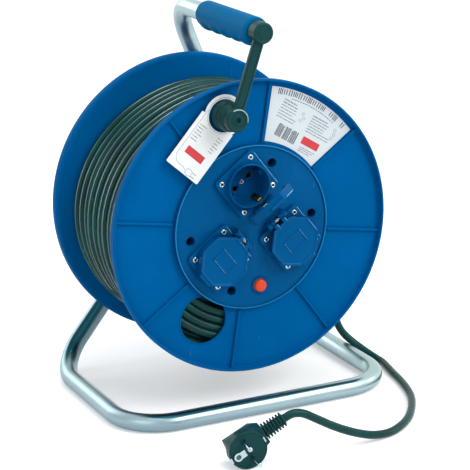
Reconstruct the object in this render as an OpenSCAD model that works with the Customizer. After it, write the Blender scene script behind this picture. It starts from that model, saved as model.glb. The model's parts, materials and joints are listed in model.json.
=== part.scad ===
// Extension cord reel: a cable drum with three sockets that turns on a bent tube frame.
// Origin: on the ground, midway between the outermost points left to right and front to back.
// +Z is up, the drum's axis runs along Y and its front faces -Y.

/* [Drum] */
// Outer diameter of both flanges
flange_d = 290; // [270:1:300]
// Width of the drum over both flanges
drum_w = 160; // [150:1:170]
// Depth of the face behind each flange's rim
rim_depth = 7; // [5:0.5:8]
// Radial thickness of the rim
rim_t = 3; // [2.5:0.5:6]
// Thickness of the flange and of the core tube's wall
wall = 3; // [2.5:0.1:3.4]
// Outer diameter of the core tube that the cable is wound on
core_d = 160; // [156:1:168]
// Number of ribs on each flange
ribs = 8; // [6:1:12]
// Thickness of a rib
rib_t = 2.4; // [1.6:0.2:4]
// Height of a rib above the flange's face
rib_h = 3; // [1:0.2:3]
// Turn of the ribs' pattern against the panel's, in degrees
rib_lag = 1.5; // [0:0.5:3]
// Diameter of the viewing hole in the front flange
window_d = 48; // [30:1:52]
// Distance of the viewing hole's centre from the axis
window_r = 101; // [98:1:106]
// Direction of the viewing hole from the axis, in degrees
window_angle = 247; // [240:1:254]
// Turn of the drum at rest, in degrees
drum_turn = -8; // [-12:1:0]

/* [Socket panel] */
// Diameter of the panel
panel_d = 163; // [163:0.5:166]
// Thickness of the panel
panel_t = 4; // [3:0.5:5]
// Height of the raised edge above the panel
lip_h = 1.6; // [0.6:0.2:2]
// Turn of the panel against the ribs, in degrees
panel_turn = 45; // [40:1:50]
// Distance of the deep screw wells from the axis
well_r = 65; // [64:0.5:66]
// Angle of the wells to the panel's own axis, in degrees
well_angle = 32.5; // [30:0.5:34]
// Diameter of a well
well_d = 9; // [8.8:0.1:10]
// Diameter of the long screws
long_screw_d = 4; // [3:0.2:4.4]

/* [Sockets] */
// Distance of each socket's centre from the axis
socket_r = 44; // [43:0.5:45]
// Side of the square plate
plate_w = 50; // [48:0.5:51]
// Thickness of the square plate
plate_t = 3.5; // [3:0.25:4]
// Spacing of the rivets in a plate
rivet_pitch = 38; // [36:0.5:40]
// Diameter of the recess that takes a plug
recess_d = 39.5; // [39:0.1:40]
// Depth of the recess
recess_depth = 17.5; // [17:0.25:18.5]
// Height of the collar above the plate
collar_h = 6; // [5:0.25:7]
// Wall of the collar
collar_t = 2; // [1.6:0.1:2.2]
// Spacing of the two plug pins
pin_pitch = 19; // [18.5:0.5:19.5]
// Diameter of a plug pin
pin_d = 4.8; // [4:0.1:4.8]
// Thickness of the lid's top
lid_top = 3; // [2:0.25:4]
// Wall of the lid's skirt
lid_wall = 2.25; // [1.5:0.25:2.5]
// Distance of the hinge pin from the socket's centre
hinge_r = 28; // [27.5:0.25:29]
// Diameter of the hinge pin
hinge_pin_d = 2.4; // [1.6:0.1:2.8]
// Outer diameter of the hinge knuckles
knuckle_d = 7; // [6:0.25:7]
// How far the top socket's lid stands open, in degrees
lid_open = 64; // [0:1:85]

/* [Reset button] */
// Distance of the button from the axis
button_r = 60; // [58:0.5:61]
// Direction of the button in the panel's frame, in degrees
button_angle = 240; // [236:1:244]
// Diameter of the button
button_d = 13; // [10:0.5:14]
// Height of the button above the panel
button_h = 5; // [3.5:0.5:7]
// Travel of the button
button_travel = 2; // [1:0.25:2.5]

/* [Frame] */
// Outer diameter of the frame tube
tube_d = 18; // [16:0.5:20]
// Wall of the frame tube
tube_wall = 1.5; // [1:0.1:2.5]
// Height of the drum's axis above the ground
axle_height = 183; // [176:1:200]
// Height of the handle's axis above the drum's axis
handle_h = 194; // [186:1:205]
// Half the spread of the feet, to the tube's axis
foot_x = 141; // [132:1:150]
// Distance of the front cross tube in front of the drum's middle
cross_y = 100; // [92:1:108]
// Gap between the rear flange and the frame tube
frame_gap = 4; // [3.5:0.5:8]
// Bend radius of the rear bends, to the tube's axis
rear_bend = 38; // [32:1:44]
// Bend radius of the front bends, to the tube's axis
front_bend = 48; // [40:1:54]

/* [Axle] */
// Diameter of the axle bolt
axle_d = 12; // [10:0.5:12]
// Outer diameter of the bearing sleeve
sleeve_d = 20; // [18:0.5:21]
// Outer diameter of the bearing bush
bush_d = 26; // [25:0.5:28]
// Length of the bearing
bearing_l = 55; // [45:1:60]

/* [Handle] */
// Diameter of the grip
grip_d = 26; // [25:0.5:28]
// Length of the grip
grip_l = 110; // [100:1:125]
// Number of finger lobes under the grip
fingers = 5; // [3:1:6]
// How far the finger lobes stand out
finger_h = 2.5; // [1.5:0.25:3.5]
// Distance of the handle tube's open end in front of the drum's middle
handle_y = 106; // [104:1:110]

/* [Lock arm and knob] */
// Outer diameter of the lock arm's cap
cap_d = 20.5; // [20.5:0.5:24]
// Width of the arm
arm_w = 11; // [8:0.5:12]
// Thickness of the arm
arm_t = 6; // [4:0.5:7]
// Outer diameter of the arm's eye
eye_d = 23; // [20:0.5:24]
// Distance of the winding knob from the drum's axis
knob_r = 118; // [116:0.5:121]
// Direction of the knob against the drum, in degrees
knob_angle = 111.5; // [110:0.5:114]
// Diameter of the knob's foot
knob_d = 29; // [26:0.5:30]
// Height of the knob
knob_h = 19.7; // [18.9:0.1:21]
// Diameter of the knob's spindle
spindle_d = 8.2; // [7:0.1:9]

/* [Hang tag] */
// Width of the tag
tag_w = 41; // [38:1:46]
// Length of the tag below its hole
tag_l = 67; // [60:1:74]
// Thickness of the tag
tag_t = 0.8; // [0.6:0.1:1]
// Direction in which the tag hangs, in degrees
tag_angle = 228; // [225:1:232]

/* [Cable] */
// Diameter of the cable
cable_d = 8; // [7:0.1:8.4]
// Outer diameter of the wound cable
wound_d = 262; // [252:0.5:262]
// How much tighter the turns lie at the top, where the cable's weight pulls them on
tighter = 12; // [4:0.5:12]
// Turns of the outer layer
turns = 11; // [9:1:14]
// Turns of each lid spring
spring_turns = 4; // [3:1:5]

/* [Plug] */
// Diameter of the plug's face
plug_d = 37; // [36:0.5:38]
// Length of a plug pin outside the body
pin_l = 19; // [18:0.25:19.5]
// Length of the ribbed strain relief
relief_l = 22.5; // [18:0.5:26]
// Ribs on the strain relief
relief_ribs = 7; // [4:1:8]

/* [Hidden] */

steel = "silver";
drum_blue = "royalblue";
black = [0.12, 0.13, 0.13];
brass = "goldenrod";

round_fn = 96;    // flanges and other large rounds
small_fn = 48;    // pins, screws and holes
fit_gap = 0.02;   // radial gap of a pressed or screwed fit
run_gap = 0.06;   // radial gap of a running fit
seat_gap = 0.3;   // gap between pieces that only lie against each other

// Distances along the drum's axis, measured to the front from the middle of the drum
drum_half = drum_w / 2;
flange_z = drum_half - rim_depth;              // outer face of a flange
inner_z = flange_z - wall;                     // inner face of a flange
tube_r = tube_d / 2;
rear_z = -(drum_half + frame_gap + tube_r);    // axis of the rear tubes
front_z = cross_y;                             // axis of the front cross tube
panel_z = flange_z + panel_t;                  // face of the panel
lip_z = panel_z + lip_h;                       // top of the panel's raised edge
tag_z = max(drum_half, lip_z) + seat_gap;      // back of the hang tag
boss_z = tag_z + 0.2;                          // front of the knob's boss
knob_z = boss_z + seat_gap;                    // back of the winding knob
knob_top = knob_z + knob_h;                    // front of the winding knob
eye_z = knob_top + 0.4;                        // back of the lock arm's eye
cap_z = handle_y + 5;                          // front of the lock arm's cap
head_t = 7.5;                                  // height of the axle bolt's head
bolt_z = rear_z - tube_r - head_t;             // back of the axle bolt

core_r = core_d / 2;
core_in = core_r - wall;
bush_z = -drum_half + bearing_l;               // front end of the bearing
floor_y = -axle_height;                        // the ground, seen from the drum's axis
foot_h = floor_y + tube_r;
socket_angle = [60, 180, 300];
hinge_turn = [0, 90, 180];
lid_rest = [lid_open, 0, 0];

collar_z = plate_t + collar_h;                 // top of a socket's collar
collar_r = recess_d / 2 + collar_t;
recess_z = collar_z - recess_depth;            // floor of a socket's recess
insert_d = 43;
insert_z = -30;
lid_clear = 0.5;
lid_in = collar_r + lid_clear;
lid_flat = 2 * (lid_in + lid_wall);            // width across the lid's flats
lid_z = collar_z + lid_clear;                  // underside of the lid's top
rivet_head = 0.9;
skirt_z = plate_t + rivet_head + 0.3;          // lower edge of the lid's skirt, above the rivets
hinge_h = plate_t + knuckle_d / 2;
knuckle_w = 4.5;
knuckle_out = 7.3;                             // where a plate's knuckles begin
knuckle_in = 2.9;                              // where a lid's knuckles begin
hinge_hole = hinge_pin_d / 2 + run_gap;

// The open lid's far edge can stand further out than the lock arm
lid_far = hinge_r + lid_flat / 2 + 3;
lid_front = panel_z + hinge_h + lid_far * sin(lid_open) + (lid_z + lid_top - 1 - hinge_h) * cos(lid_open);
drum_y = (max(cap_z, lid_front) + bolt_z) / 2; // puts the origin midway front to back
echo("drum_y", drum_y);

knob_at = [knob_r * cos(knob_angle + drum_turn), knob_r * sin(knob_angle + drum_turn)];
handle_at = [0, handle_h];
arm_v = knob_at - handle_at;
arm_l = norm(arm_v);
arm_dir = atan2(arm_v[1], arm_v[0]);
tag_hole = knob_d / 2 + 1.5;
tag_drop = tag_hole - knob_d / 2 - seat_gap;   // the tag hangs on the knob's foot
spindle_r = spindle_d / 2;

wind_r = (wound_d - cable_d) / 2;              // to the cable's own axis
loop_rings = 24;
wind_span = 2 * inner_z - cable_d - 2 * 0.6;
core_top = (wind_r - tighter) * cos(180 / loop_rings) - cable_d / 2 - 0.4;
cord_r = wind_r + cable_d + 0.9;               // free cord where it leaves the winding

// The plug lies on its rim in front of the frame, its face to the front
plug_x = -75;
plug_y = -207;
plug_yaw = -7;
plug_tilt = 28;
plug_rest = plug_d / 2 + seat_gap;
plug_face = 13;
plug_back = -13;
relief_x = 21.5;
relief_end = relief_x + relief_l;
earth_x = 11;
pin_root = 2;                                  // radius of a pin inside the body

function unit(v) = v / norm(v);

// Route of the free cord's axis, from the drum to the plug: x and y from the drum's middle, z from the ground
cord_leave = [for (a = [40 : -12 : 4]) [cord_r * cos(a), 5, axle_height + cord_r * sin(a)]];
cord_lie = [
    [135.4, 5, 162], [134.3, 5, 138], [133.4, 5, 112], [132.8, 5, 88],
    [133, 4.5, 66], [134.2, 4, 49], [137.5, 3, 36], [143.5, 1, 25.8],
    [151, -4, 17.6], [158.5, -12.5, 10.4], [163.8, -24.5, 5.8], [165.6, -40, 4.2],
    [162.6, -56, 4.2], [159, -73, 4.2], [155.9, -90, 4.2], [152, -107, 4.2],
    [147.2, -124, 4.2], [141, -140.5, 4.2], [133, -155.5, 4.2], [122, -172.5, 4.2],
    [109, -188.5, 4.2], [93.5, -202, 4.2], [76, -211.5, 4.3], [57, -216, 6.8],
    [40, -217.5, 12], [24, -217.8, 18.8], [10, -217.3, 26], [1, -216.6, 31.3],
    [-7.5, -215.8, 36.3], [-14.7, -214.7, 40.5], [-21, -213.8, 42.7], [-28, -212.8, 42.9]
];
exit_dir = [
    cos(plug_tilt) * cos(plug_yaw),
    cos(plug_tilt) * sin(plug_yaw),
    sin(plug_tilt)
];
cord_end = [plug_x, plug_y, plug_rest] + (relief_end - 1.5) * exit_dir;
cord_near = cord_end + 3.5 * exit_dir;

// Unit vectors along a path, one for each point
function path_dirs(p) = [
    for (i = [0 : len(p) - 1]) unit(p[min(i + 1, len(p) - 1)] - p[max(i - 1, 0)])
];

// A first direction square to d
function square_to(d) = unit(cross(d, abs(d[2]) < 0.9 ? [0, 0, 1] : [1, 0, 0]));

// Directions square to a path that don't twist from one point to the next
function path_sides(d) = [
    for (i = 0, n = square_to(d[0]); i < len(d);
         i = i + 1, n = i < len(d) ? unit(n - (n * d[i]) * d[i]) : n) n
];

// One unbroken tube along the points p, with flat ends
module swept_tube(p, r, sides) {
    d = path_dirs(p);
    n = path_sides(d);
    count = len(p);
    rings = [
        for (i = [0 : count - 1])
            for (k = [0 : sides - 1])
                p[i] + r * (cos(360 * k / sides) * n[i] + sin(360 * k / sides) * cross(d[i], n[i]))
    ];
    walls = [
        for (i = [0 : count - 2])
            for (k = [0 : sides - 1])
                let (a = i * sides + k, b = i * sides + (k + 1) % sides)
                    each [[a, a + sides, b], [b, a + sides, b + sides]]
    ];
    first = [for (k = [1 : sides - 2]) [0, k, k + 1]];
    last = [for (k = [1 : sides - 2]) [0, k + 1, k] + (count - 1) * sides * [1, 1, 1]];
    polyhedron(points = rings, faces = concat(walls, first, last), convexity = 10);
}

// Places what follows with its z to the front, from the middle of the drum
module at_drum() {
    translate([0, drum_y, axle_height]) rotate([90, 0, 0]) children();
}

module on_drum() {
    at_drum() rotate([0, 0, drum_turn]) children();
}

module on_panel() {
    on_drum() rotate([0, 0, panel_turn]) translate([0, 0, panel_z]) children();
}

module on_socket(i) {
    on_panel() rotate([0, 0, socket_angle[i]]) translate([socket_r, 0, 0])
        rotate([0, 0, hinge_turn[i] - socket_angle[i]]) children();
}

// The hinge's own frame: its pin along x, the socket towards y
module on_hinge(i) {
    on_socket(i) translate([0, -hinge_r, hinge_h]) children();
}

module on_plug() {
    translate([plug_x, drum_y + plug_y, plug_rest]) rotate([90, 0, plug_yaw]) rotate([0, 0, plug_tilt]) children();
}

// A ring or disc between two heights
module ring(r_out, r_in, low, high, fn = round_fn) {
    translate([0, 0, low]) linear_extrude(height = high - low) difference() {
        circle(r = r_out, $fn = fn);
        if (r_in > 0) circle(r = r_in, $fn = fn);
    }
}

module rod(r, low, high, fn = small_fn) {
    translate([0, 0, low]) cylinder(r = r, h = high - low, $fn = fn);
}

// A cylinder with a chamfered front edge
module capped_rod(r, low, high, edge, fn = small_fn) {
    rotate_extrude($fn = fn) polygon([[0, low], [r, low], [r, high - edge], [r - edge, high], [0, high]]);
}

module rounded_square(w, r) {
    for (x = [-1, 1], y = [-1, 1]) translate([x * (w / 2 - r), y * (w / 2 - r)]) circle(r = r, $fn = 24);
    square([w, w - 2 * r], center = true);
    square([w - 2 * r, w], center = true);
}

// ---- Frame ----

// Corners of the frame tube's path: x to the right, y up, z to the front
left_leg = unit([foot_x, -foot_h, 0]);
right_leg = unit([foot_x, foot_h - handle_h, 0]);
// Where the left leg, running through the axle, meets the right leg
joint_t = handle_h / (handle_h - 2 * foot_h);
joint_at = [foot_x * joint_t, -foot_h * joint_t, rear_z];
frame_path = [
    [0, handle_h, handle_y],
    [0, handle_h, rear_z],
    [foot_x, foot_h, rear_z],
    [foot_x, foot_h, front_z],
    [-foot_x, foot_h, front_z],
    [-foot_x, foot_h, rear_z],
    joint_at
];
bend_r = [0, rear_bend, rear_bend, front_bend, front_bend, rear_bend, 0];
corners = len(frame_path) - 2;

function path_dir(i) = unit(frame_path[i + 1] - frame_path[i]);
function bend_angle(i) = acos(path_dir(i - 1) * path_dir(i));
function bend_cut(i) = bend_r[i] == 0 ? 0 : bend_r[i] * tan(bend_angle(i) / 2);

module along(x, y, z, at) {
    multmatrix([
        [x[0], y[0], z[0], at[0]],
        [x[1], y[1], z[1], at[1]],
        [x[2], y[2], z[2], at[2]],
        [0, 0, 0, 1]
    ]) children();
}

// The straight run after corner i; its ends reach a little into the bends
module frame_run(i, r) {
    d = path_dir(i);
    side = square_to(d);
    reach = 0.4;
    length = norm(frame_path[i + 1] - frame_path[i]) - bend_cut(i) - bend_cut(i + 1);
    along(side, cross(d, side), d, frame_path[i] + (bend_cut(i) - reach) * d)
        cylinder(r = r, h = length + 2 * reach, $fn = small_fn);
}

// The bend at corner i, drawn a hair thinner than the runs
module frame_bend(i, r) {
    d_in = path_dir(i - 1);
    d_out = path_dir(i);
    inward = unit(d_out - (d_out * d_in) * d_in);
    start = frame_path[i] - bend_cut(i) * d_in;
    along(-inward, d_in, cross(-inward, d_in), start + bend_r[i] * inward)
        rotate_extrude(angle = bend_angle(i), $fn = round_fn)
            translate([bend_r[i], 0]) circle(r = r - 0.05, $fn = small_fn);
}

module frame_solid(r) {
    for (i = [0 : corners - 1]) frame_run(i, r);
    for (i = [1 : corners]) frame_bend(i, r);
}

// The last run, cut to lie against the right leg
module left_leg_end(r, bite) {
    difference() {
        frame_run(corners, r);
        along([0, 0, 1], cross(right_leg, [0, 0, 1]), right_leg, [0, handle_h, rear_z])
            rod(tube_r - bite, 0, 2 * handle_h);
    }
}

module frame_tube() {
    bore = tube_r - tube_wall;
    color(steel) at_drum() difference() {
        union() {
            frame_solid(tube_r);
            left_leg_end(tube_r, tube_wall / 2);
        }
        frame_solid(bore);
        left_leg_end(bore, 0);
        rod(axle_d / 2 + 0.1, bolt_z, rear_z + 2 * tube_d);
    }
}

// ---- Axle ----

module axle_spacer() {
    spacer_r = 17;
    color(steel) at_drum() difference() {
        rod(spacer_r, rear_z, -drum_half - seat_gap);
        translate([0, 0, rear_z]) rotate([0, 0, atan2(left_leg[1], left_leg[0])]) rotate([0, 90, 0])
            translate([0, 0, -2 * spacer_r]) cylinder(r = tube_r + fit_gap, h = 4 * spacer_r, $fn = small_fn);
        rod(axle_d / 2 + 0.1, rear_z - 1, 0);
    }
}

module axle_bolt() {
    color(steel) at_drum() {
        union() {
            rod(axle_d / 2, bolt_z + head_t, bush_z + 14.5);
            difference() {
                rod(10.4, bolt_z, bolt_z + head_t, 6);
                rotate_extrude($fn = small_fn) polygon([
                    [9, bolt_z - 1], [12, bolt_z - 1], [12, bolt_z + 1.8]
                ]);
            }
        }
    }
}

module bearing_sleeve() {
    color(steel) at_drum() ring(sleeve_d / 2, axle_d / 2 + 0.1, -drum_half - seat_gap, bush_z + seat_gap, small_fn);
}

module axle_washer() {
    color(steel) at_drum() ring(17, axle_d / 2 + 0.2, bush_z + seat_gap, bush_z + seat_gap + 2, small_fn);
}

module axle_nut() {
    color(steel) at_drum() difference() {
        rod(10.4, bush_z + seat_gap + 2, bush_z + 12.5, 6);
        rod(axle_d / 2 + fit_gap, -drum_half, drum_half);
    }
}

module bearing_bush() {
    bush_r = bush_d / 2 - fit_gap;
    hole = sleeve_d / 2 + run_gap;
    color("ivory") on_drum() union() {
        ring(bush_r, hole, -drum_half, bush_z, small_fn);
        ring(bush_r + 3, hole, -drum_half, -drum_half + 1.6, small_fn);
    }
}

// ---- Handle ----

module handle_grip() {
    back = handle_y - 11 - grip_l;
    pitch = grip_l / fingers;
    lobe_r = (pitch * pitch / 4 + finger_h * finger_h) / (2 * finger_h);
    top_r = grip_d / 2;
    color(drum_blue) at_drum() translate([0, handle_h, back]) difference() {
        union() {
            rotate_extrude($fn = round_fn) difference() {
                square([top_r, grip_l]);
                difference() {
                    translate([top_r - 4, -1]) square([5, 5]);
                    translate([top_r - 4, 4]) circle(r = 4, $fn = small_fn);
                }
            }
            // lobes under the bar, one for each finger
            translate([0, -finger_h, 0]) rotate_extrude($fn = round_fn)
                for (i = [0 : fingers - 1]) intersection() {
                    translate([top_r - 0.6 - lobe_r, (i + 0.5) * pitch]) circle(r = lobe_r, $fn = round_fn);
                    translate([0, i * pitch]) square([2 * top_r, pitch]);
                }
        }
        rod(tube_r + fit_gap, -1, grip_l + 1);
    }
}

module handle_plug() {
    plug_r = tube_r - tube_wall - fit_gap;
    color(black) at_drum() translate([0, handle_h, 0]) union() {
        rod(plug_r, handle_y - 20, handle_y);
        capped_rod(3.5, handle_y, handle_y + 3.3, 0.6);
    }
}

module lock_arm() {
    cap_back = handle_y - 10.5;
    hub_r = cap_d / 2;
    color(black) at_drum() translate([0, handle_h, 0]) difference() {
        union() {
            capped_rod(hub_r, cap_back, cap_z, 1.4, round_fn);
            // flat bar with a rounded front, from the cap to the eye
            rotate([0, 0, arm_dir]) translate([0, 0, eye_z + 0.2]) {
                translate([0, -arm_w / 2, 0]) cube([arm_l, arm_w, arm_t - 1.6]);
                translate([0, -arm_w / 2 + 1.6, 0]) cube([arm_l, arm_w - 3.2, arm_t]);
                for (s = [-1, 1]) translate([0, s * (arm_w / 2 - 1.6), arm_t - 1.6]) rotate([0, 90, 0])
                    cylinder(r = 1.6, h = arm_l, $fn = 24);
            }
            translate(arm_v) {
                capped_rod(eye_d / 2, eye_z, eye_z + 8, 1.2, round_fn);
                ring(eye_d / 2 - 3, eye_d / 2 - 5, eye_z, eye_z + 8.8, small_fn);
            }
        }
        rod(tube_r + run_gap, cap_back - 1, handle_y + 0.9);
        rod(3.5 + run_gap, handle_y, handle_y + 3.8);
        translate(arm_v) rod(2.6, eye_z + 2, eye_z + 20);
    }
}

// ---- Drum ----

// A flange seen from its outer side: recessed face, rolled rim and ribs
module flange_plate(hole_r) {
    rim_r = flange_d / 2;
    lip = 2;
    rotate_extrude($fn = round_fn) {
        difference() {
            translate([rim_r - rim_t, inner_z]) square([rim_t, rim_depth + wall]);
            difference() {
                translate([rim_r - lip, drum_half - lip]) square([lip + 1, lip + 1]);
                translate([rim_r - lip, drum_half - lip]) circle(r = lip, $fn = small_fn);
            }
        }
        translate([hole_r, inner_z]) square([rim_r - rim_t / 2 - hole_r, wall]);
    }
    for (i = [0 : ribs - 1]) rotate([0, 0, 360 * i / ribs - rib_lag])
        translate([core_r + 3, -rib_t / 2, flange_z - 0.1])
            cube([rim_r - rim_t / 2 - core_r - 3, rib_t, rib_h + 0.1]);
}

module wells() {
    for (a = [well_angle, -well_angle, 180 - well_angle, 180 + well_angle])
        rotate([0, 0, panel_turn + a]) translate([well_r, 0, 0]) children();
}

module front_flange() {
    pocket_z = inner_z + 3.8;
    color(drum_blue) on_drum() difference() {
        union() {
            flange_plate(core_in);
            ring(core_r, core_in, 0, inner_z + 1);
            // boss for the knob's spindle
            rotate([0, 0, knob_angle]) translate([knob_r, 0, 0]) rod(11, inner_z, boss_z);
        }
        rotate([0, 0, window_angle]) translate([window_r, 0, inner_z - 2]) linear_extrude(height = 12)
            difference() {
                circle(d = window_d, $fn = round_fn);
                translate([-window_r, 0]) circle(r = core_r + 0.5, $fn = round_fn);
            }
        rotate([0, 0, knob_angle]) translate([knob_r, 0, 0]) {
            rod(7.2, inner_z - 1, pocket_z);
            rod(spindle_r + fit_gap, inner_z, boss_z + 1);
        }
    }
}

module rear_flange() {
    post_r = 6;
    boss_r = bush_d / 2 + 4;
    color(drum_blue) on_drum() difference() {
        union() {
            mirror([0, 0, 1]) flange_plate(0);
            ring(core_r, core_in, -inner_z - 1, 0);
            // lip that centres the front half
            ring(core_in - 0.1, core_in - 2, -8, 5);
            ring(core_in + 1, core_in - 2, -9, -4);
            rod(boss_r, -drum_half, bush_z);
            // webs from the bearing to the core tube
            for (i = [0 : ribs - 1]) rotate([0, 0, 360 * (i + 0.5) / ribs])
                translate([boss_r - 1, -rib_t / 2, -inner_z - 1]) cube([core_in - boss_r + 2, rib_t, 16]);
            wells() rod(post_r, -inner_z - 1, -seat_gap);
            // pad under the terminal block and the cord clamp
            rotate([0, 0, lead_angle]) translate([24, -11, -inner_z - 1]) cube([46, 22, 16]);
        }
        rod(bush_d / 2, -drum_half - 1, bush_z + 1);
        rod(bush_d / 2 + 3.2, -drum_half - 1, -drum_half + 1.8);
        wells() rod(long_screw_d / 2 - 0.2, -34, 1);
        rotate([0, 0, lead_angle]) translate([0, 0, lead_z]) rotate([0, 90, 0])
            rod(cable_d / 2 + seat_gap, core_in - 6, core_r + 1);
    }
}

module socket_panel() {
    post_r = 6.3;
    seat_r = core_in - seat_gap;
    rim_r = panel_d / 2;
    hole_r = insert_d / 2 + 0.2;
    color(drum_blue) on_drum() difference() {
        union() {
            ring(rim_r, 0, flange_z, panel_z);
            // raised edge with a rounded top
            rotate_extrude($fn = round_fn) {
                translate([rim_r - 2.4, panel_z - 1]) square([2.4, lip_h + 0.2]);
                translate([rim_r - 1.2, panel_z + lip_h - 1.2]) circle(r = 1.2, $fn = 24);
            }
            // spigot that centres the panel in the core tube
            ring(seat_r, seat_r - 2, flange_z - 8, flange_z + 1);
            wells() rod(post_r, 0, panel_z);
            rotate([0, 0, panel_turn + button_angle]) translate([button_r, 0, 0])
                ring(button_d / 2 + 2.5, 0, panel_z - 1, panel_z + 1.6, small_fn);
        }
        wells() {
            rod(well_d / 2, 12, lip_z);
            rod(long_screw_d / 2 + 0.2, -1, 13);
        }
        for (a = socket_angle) rotate([0, 0, panel_turn + a]) translate([socket_r, 0, 0])
            rod(hole_r, flange_z - 9, panel_z + 1, round_fn);
        rotate([0, 0, panel_turn + button_angle]) translate([button_r, 0, 0])
            rod(button_d / 2 + 0.2, flange_z - 1, panel_z + 3);
        for (i = [0 : 2]) rotate([0, 0, panel_turn + socket_angle[i]]) translate([socket_r, 0, 0])
            rotate([0, 0, hinge_turn[i] - socket_angle[i]]) rivet_places() rod(1.6, flange_z - 9, panel_z + 1, 24);
    }
}

module drum_screws() {
    color(steel) on_drum() wells() difference() {
        union() {
            rod(long_screw_d / 2 - 0.2 - fit_gap, -30, 12.2);
            capped_rod(well_d / 2 - 0.4, 12, 15, 0.8);
        }
        for (a = [0, 90]) rotate([0, 0, a]) translate([-2, -0.4, 13.6]) cube([4, 0.8, 2]);
    }
}

// ---- Sockets ----

module rivet_places() {
    for (x = [-1, 1], y = [-1, 1]) translate([x, y, 0] * rivet_pitch / 2) children();
}

module hinge_knuckle(from, to) {
    translate([from, 0, 0]) rotate([0, 90, 0]) cylinder(d = knuckle_d, h = to - from, $fn = small_fn);
}

module socket(i) {
    insert_r = insert_d / 2;
    block_w = 2 * (knuckle_out + knuckle_w);
    color(drum_blue) on_socket(i) difference() {
        union() {
            linear_extrude(height = plate_t) rounded_square(plate_w, 4);
            ring(collar_r, 0, 0, collar_z);
            rod(insert_r, insert_z, 1, round_fn);
            // hinge block with its two knuckles
            translate([-block_w / 2, -hinge_r - knuckle_d / 2, 0])
                cube([block_w, hinge_r + knuckle_d / 2 - plate_w / 2 + 1, plate_t]);
            translate([0, -hinge_r, hinge_h]) for (s = [-1, 1]) {
                hinge_knuckle(s > 0 ? knuckle_out : -knuckle_out - knuckle_w,
                              s > 0 ? knuckle_out + knuckle_w : -knuckle_out);
                translate([s * (knuckle_out + knuckle_w / 2) - knuckle_w / 2, -knuckle_d / 2, -hinge_h + 1])
                    cube([knuckle_w, knuckle_d, hinge_h - 1]);
            }
        }
        rod(recess_d / 2, recess_z, collar_z + 1, round_fn);
        for (s = [-1, 1]) {
            translate([s * pin_pitch / 2, 0, 0]) {
                rod(pin_d / 2 + 0.6, insert_z + 4, recess_z + 1, 24);
            }
            // slots for the earth clip
            translate([-3, s * recess_d / 2 - 1.3, recess_z - 2]) cube([6, 2.6, recess_depth]);
        }
        translate([0, -hinge_r, hinge_h]) rotate([0, 90, 0])
            translate([0, 0, -plate_w / 2]) cylinder(r = hinge_pin_d / 2 + fit_gap, h = plate_w, $fn = 24);
        rivet_places() rod(1.6, -1, plate_t + 1, 24);
    }
}

module contacts(i) {
    sleeve_r = pin_d / 2 + 0.45;
    color(brass) on_socket(i) {
        for (s = [-1, 1]) {
            translate([s * pin_pitch / 2, 0, 0]) ring(sleeve_r, pin_d / 2 + 0.05, insert_z + 4.2, recess_z - 1, 24);
            // earth clip: a strip in its slot with a bowed upper end
            translate([-2.2, s * (recess_d / 2 + 0.4) - 0.6, recess_z - 1.8]) cube([4.4, 1.2, recess_depth - 1]);
            translate([0, s * (recess_d / 2 - 0.2), collar_z - 5]) rotate([0, 90, 0])
                cylinder(r = 1.3, h = 4.4, center = true, $fn = 24);
        }
    }
}

// The lid's outline: a circle with four flats and four cut corners
module lid_outline(flat) {
    intersection() {
        rotate(22.5) circle(r = flat / 2 / cos(22.5), $fn = 8);
        circle(r = flat / 2 + 1.1, $fn = round_fn);
    }
}

module lid(i) {
    cut_y = hinge_r - 8;
    web_h = 4.2;
    color(drum_blue) on_hinge(i) rotate([lid_rest[i], 0, 0]) difference() {
        union() {
            translate([0, hinge_r, -hinge_h]) difference() {
                union() {
                    translate([0, 0, skirt_z]) linear_extrude(height = lid_z + lid_top - 1 - skirt_z)
                        lid_outline(lid_flat);
                    translate([0, 0, skirt_z + 1]) linear_extrude(height = lid_z + lid_top - skirt_z - 1)
                        lid_outline(lid_flat - 2);
                    // finger lip on the side away from the hinge
                    translate([-8, 0, lid_z]) cube([16, lid_flat / 2 + 3, lid_top - 1]);
                    // three plain grip ribs
                    for (x = [-7, 0, 7]) translate([x - 1, -9, lid_z + lid_top - 0.5]) cube([2, 18, 1.3]);
                }
                rod(lid_in, 0, lid_z, round_fn);
            }
            // two arms to the hinge pin
            for (s = [-1, 1]) {
                hinge_knuckle(s > 0 ? knuckle_in : -knuckle_out + seat_gap,
                              s > 0 ? knuckle_out - seat_gap : -knuckle_in);
                translate([s > 0 ? knuckle_in : -knuckle_out + seat_gap, 0, lid_z - hinge_h - 1.2])
                    cube([knuckle_out - seat_gap - knuckle_in, 6, web_h]);
            }
        }
        // the skirt is open towards the hinge, so that it clears the collar as it lifts
        translate([-plate_w / 2, 3.2, skirt_z - hinge_h - 1]) cube([plate_w, cut_y - 3.2, lid_z - skirt_z + 1]);
        rotate([0, 90, 0]) translate([0, 0, -plate_w / 2]) cylinder(r = hinge_hole, h = plate_w, $fn = 24);
    }
}

module hinge_pin(i) {
    half = knuckle_out + knuckle_w;
    color(steel) on_hinge(i) rotate([0, 90, 0]) rod(hinge_pin_d / 2, -half, half, 24);
}

// Torsion spring round the hinge pin, with a leg on the hinge block
module lid_spring(i) {
    wire = 0.9;
    coil_r = hinge_pin_d / 2 + 0.35 + wire / 2;
    span = 2 * knuckle_in - wire - 0.4;
    rings = 8;
    coil = [
        for (k = [0 : rings * spring_turns])
            let (a = 360 * k / rings + 270)
                [span * (k / (rings * spring_turns) - 0.5), coil_r * cos(a), coil_r * sin(a)]
    ];
    leg = [for (k = [1 : 3]) coil[len(coil) - 1] + k * [0, 1.2, 0]];
    color(steel) on_hinge(i) swept_tube(concat(coil, leg), wire / 2, 6);
}

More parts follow.
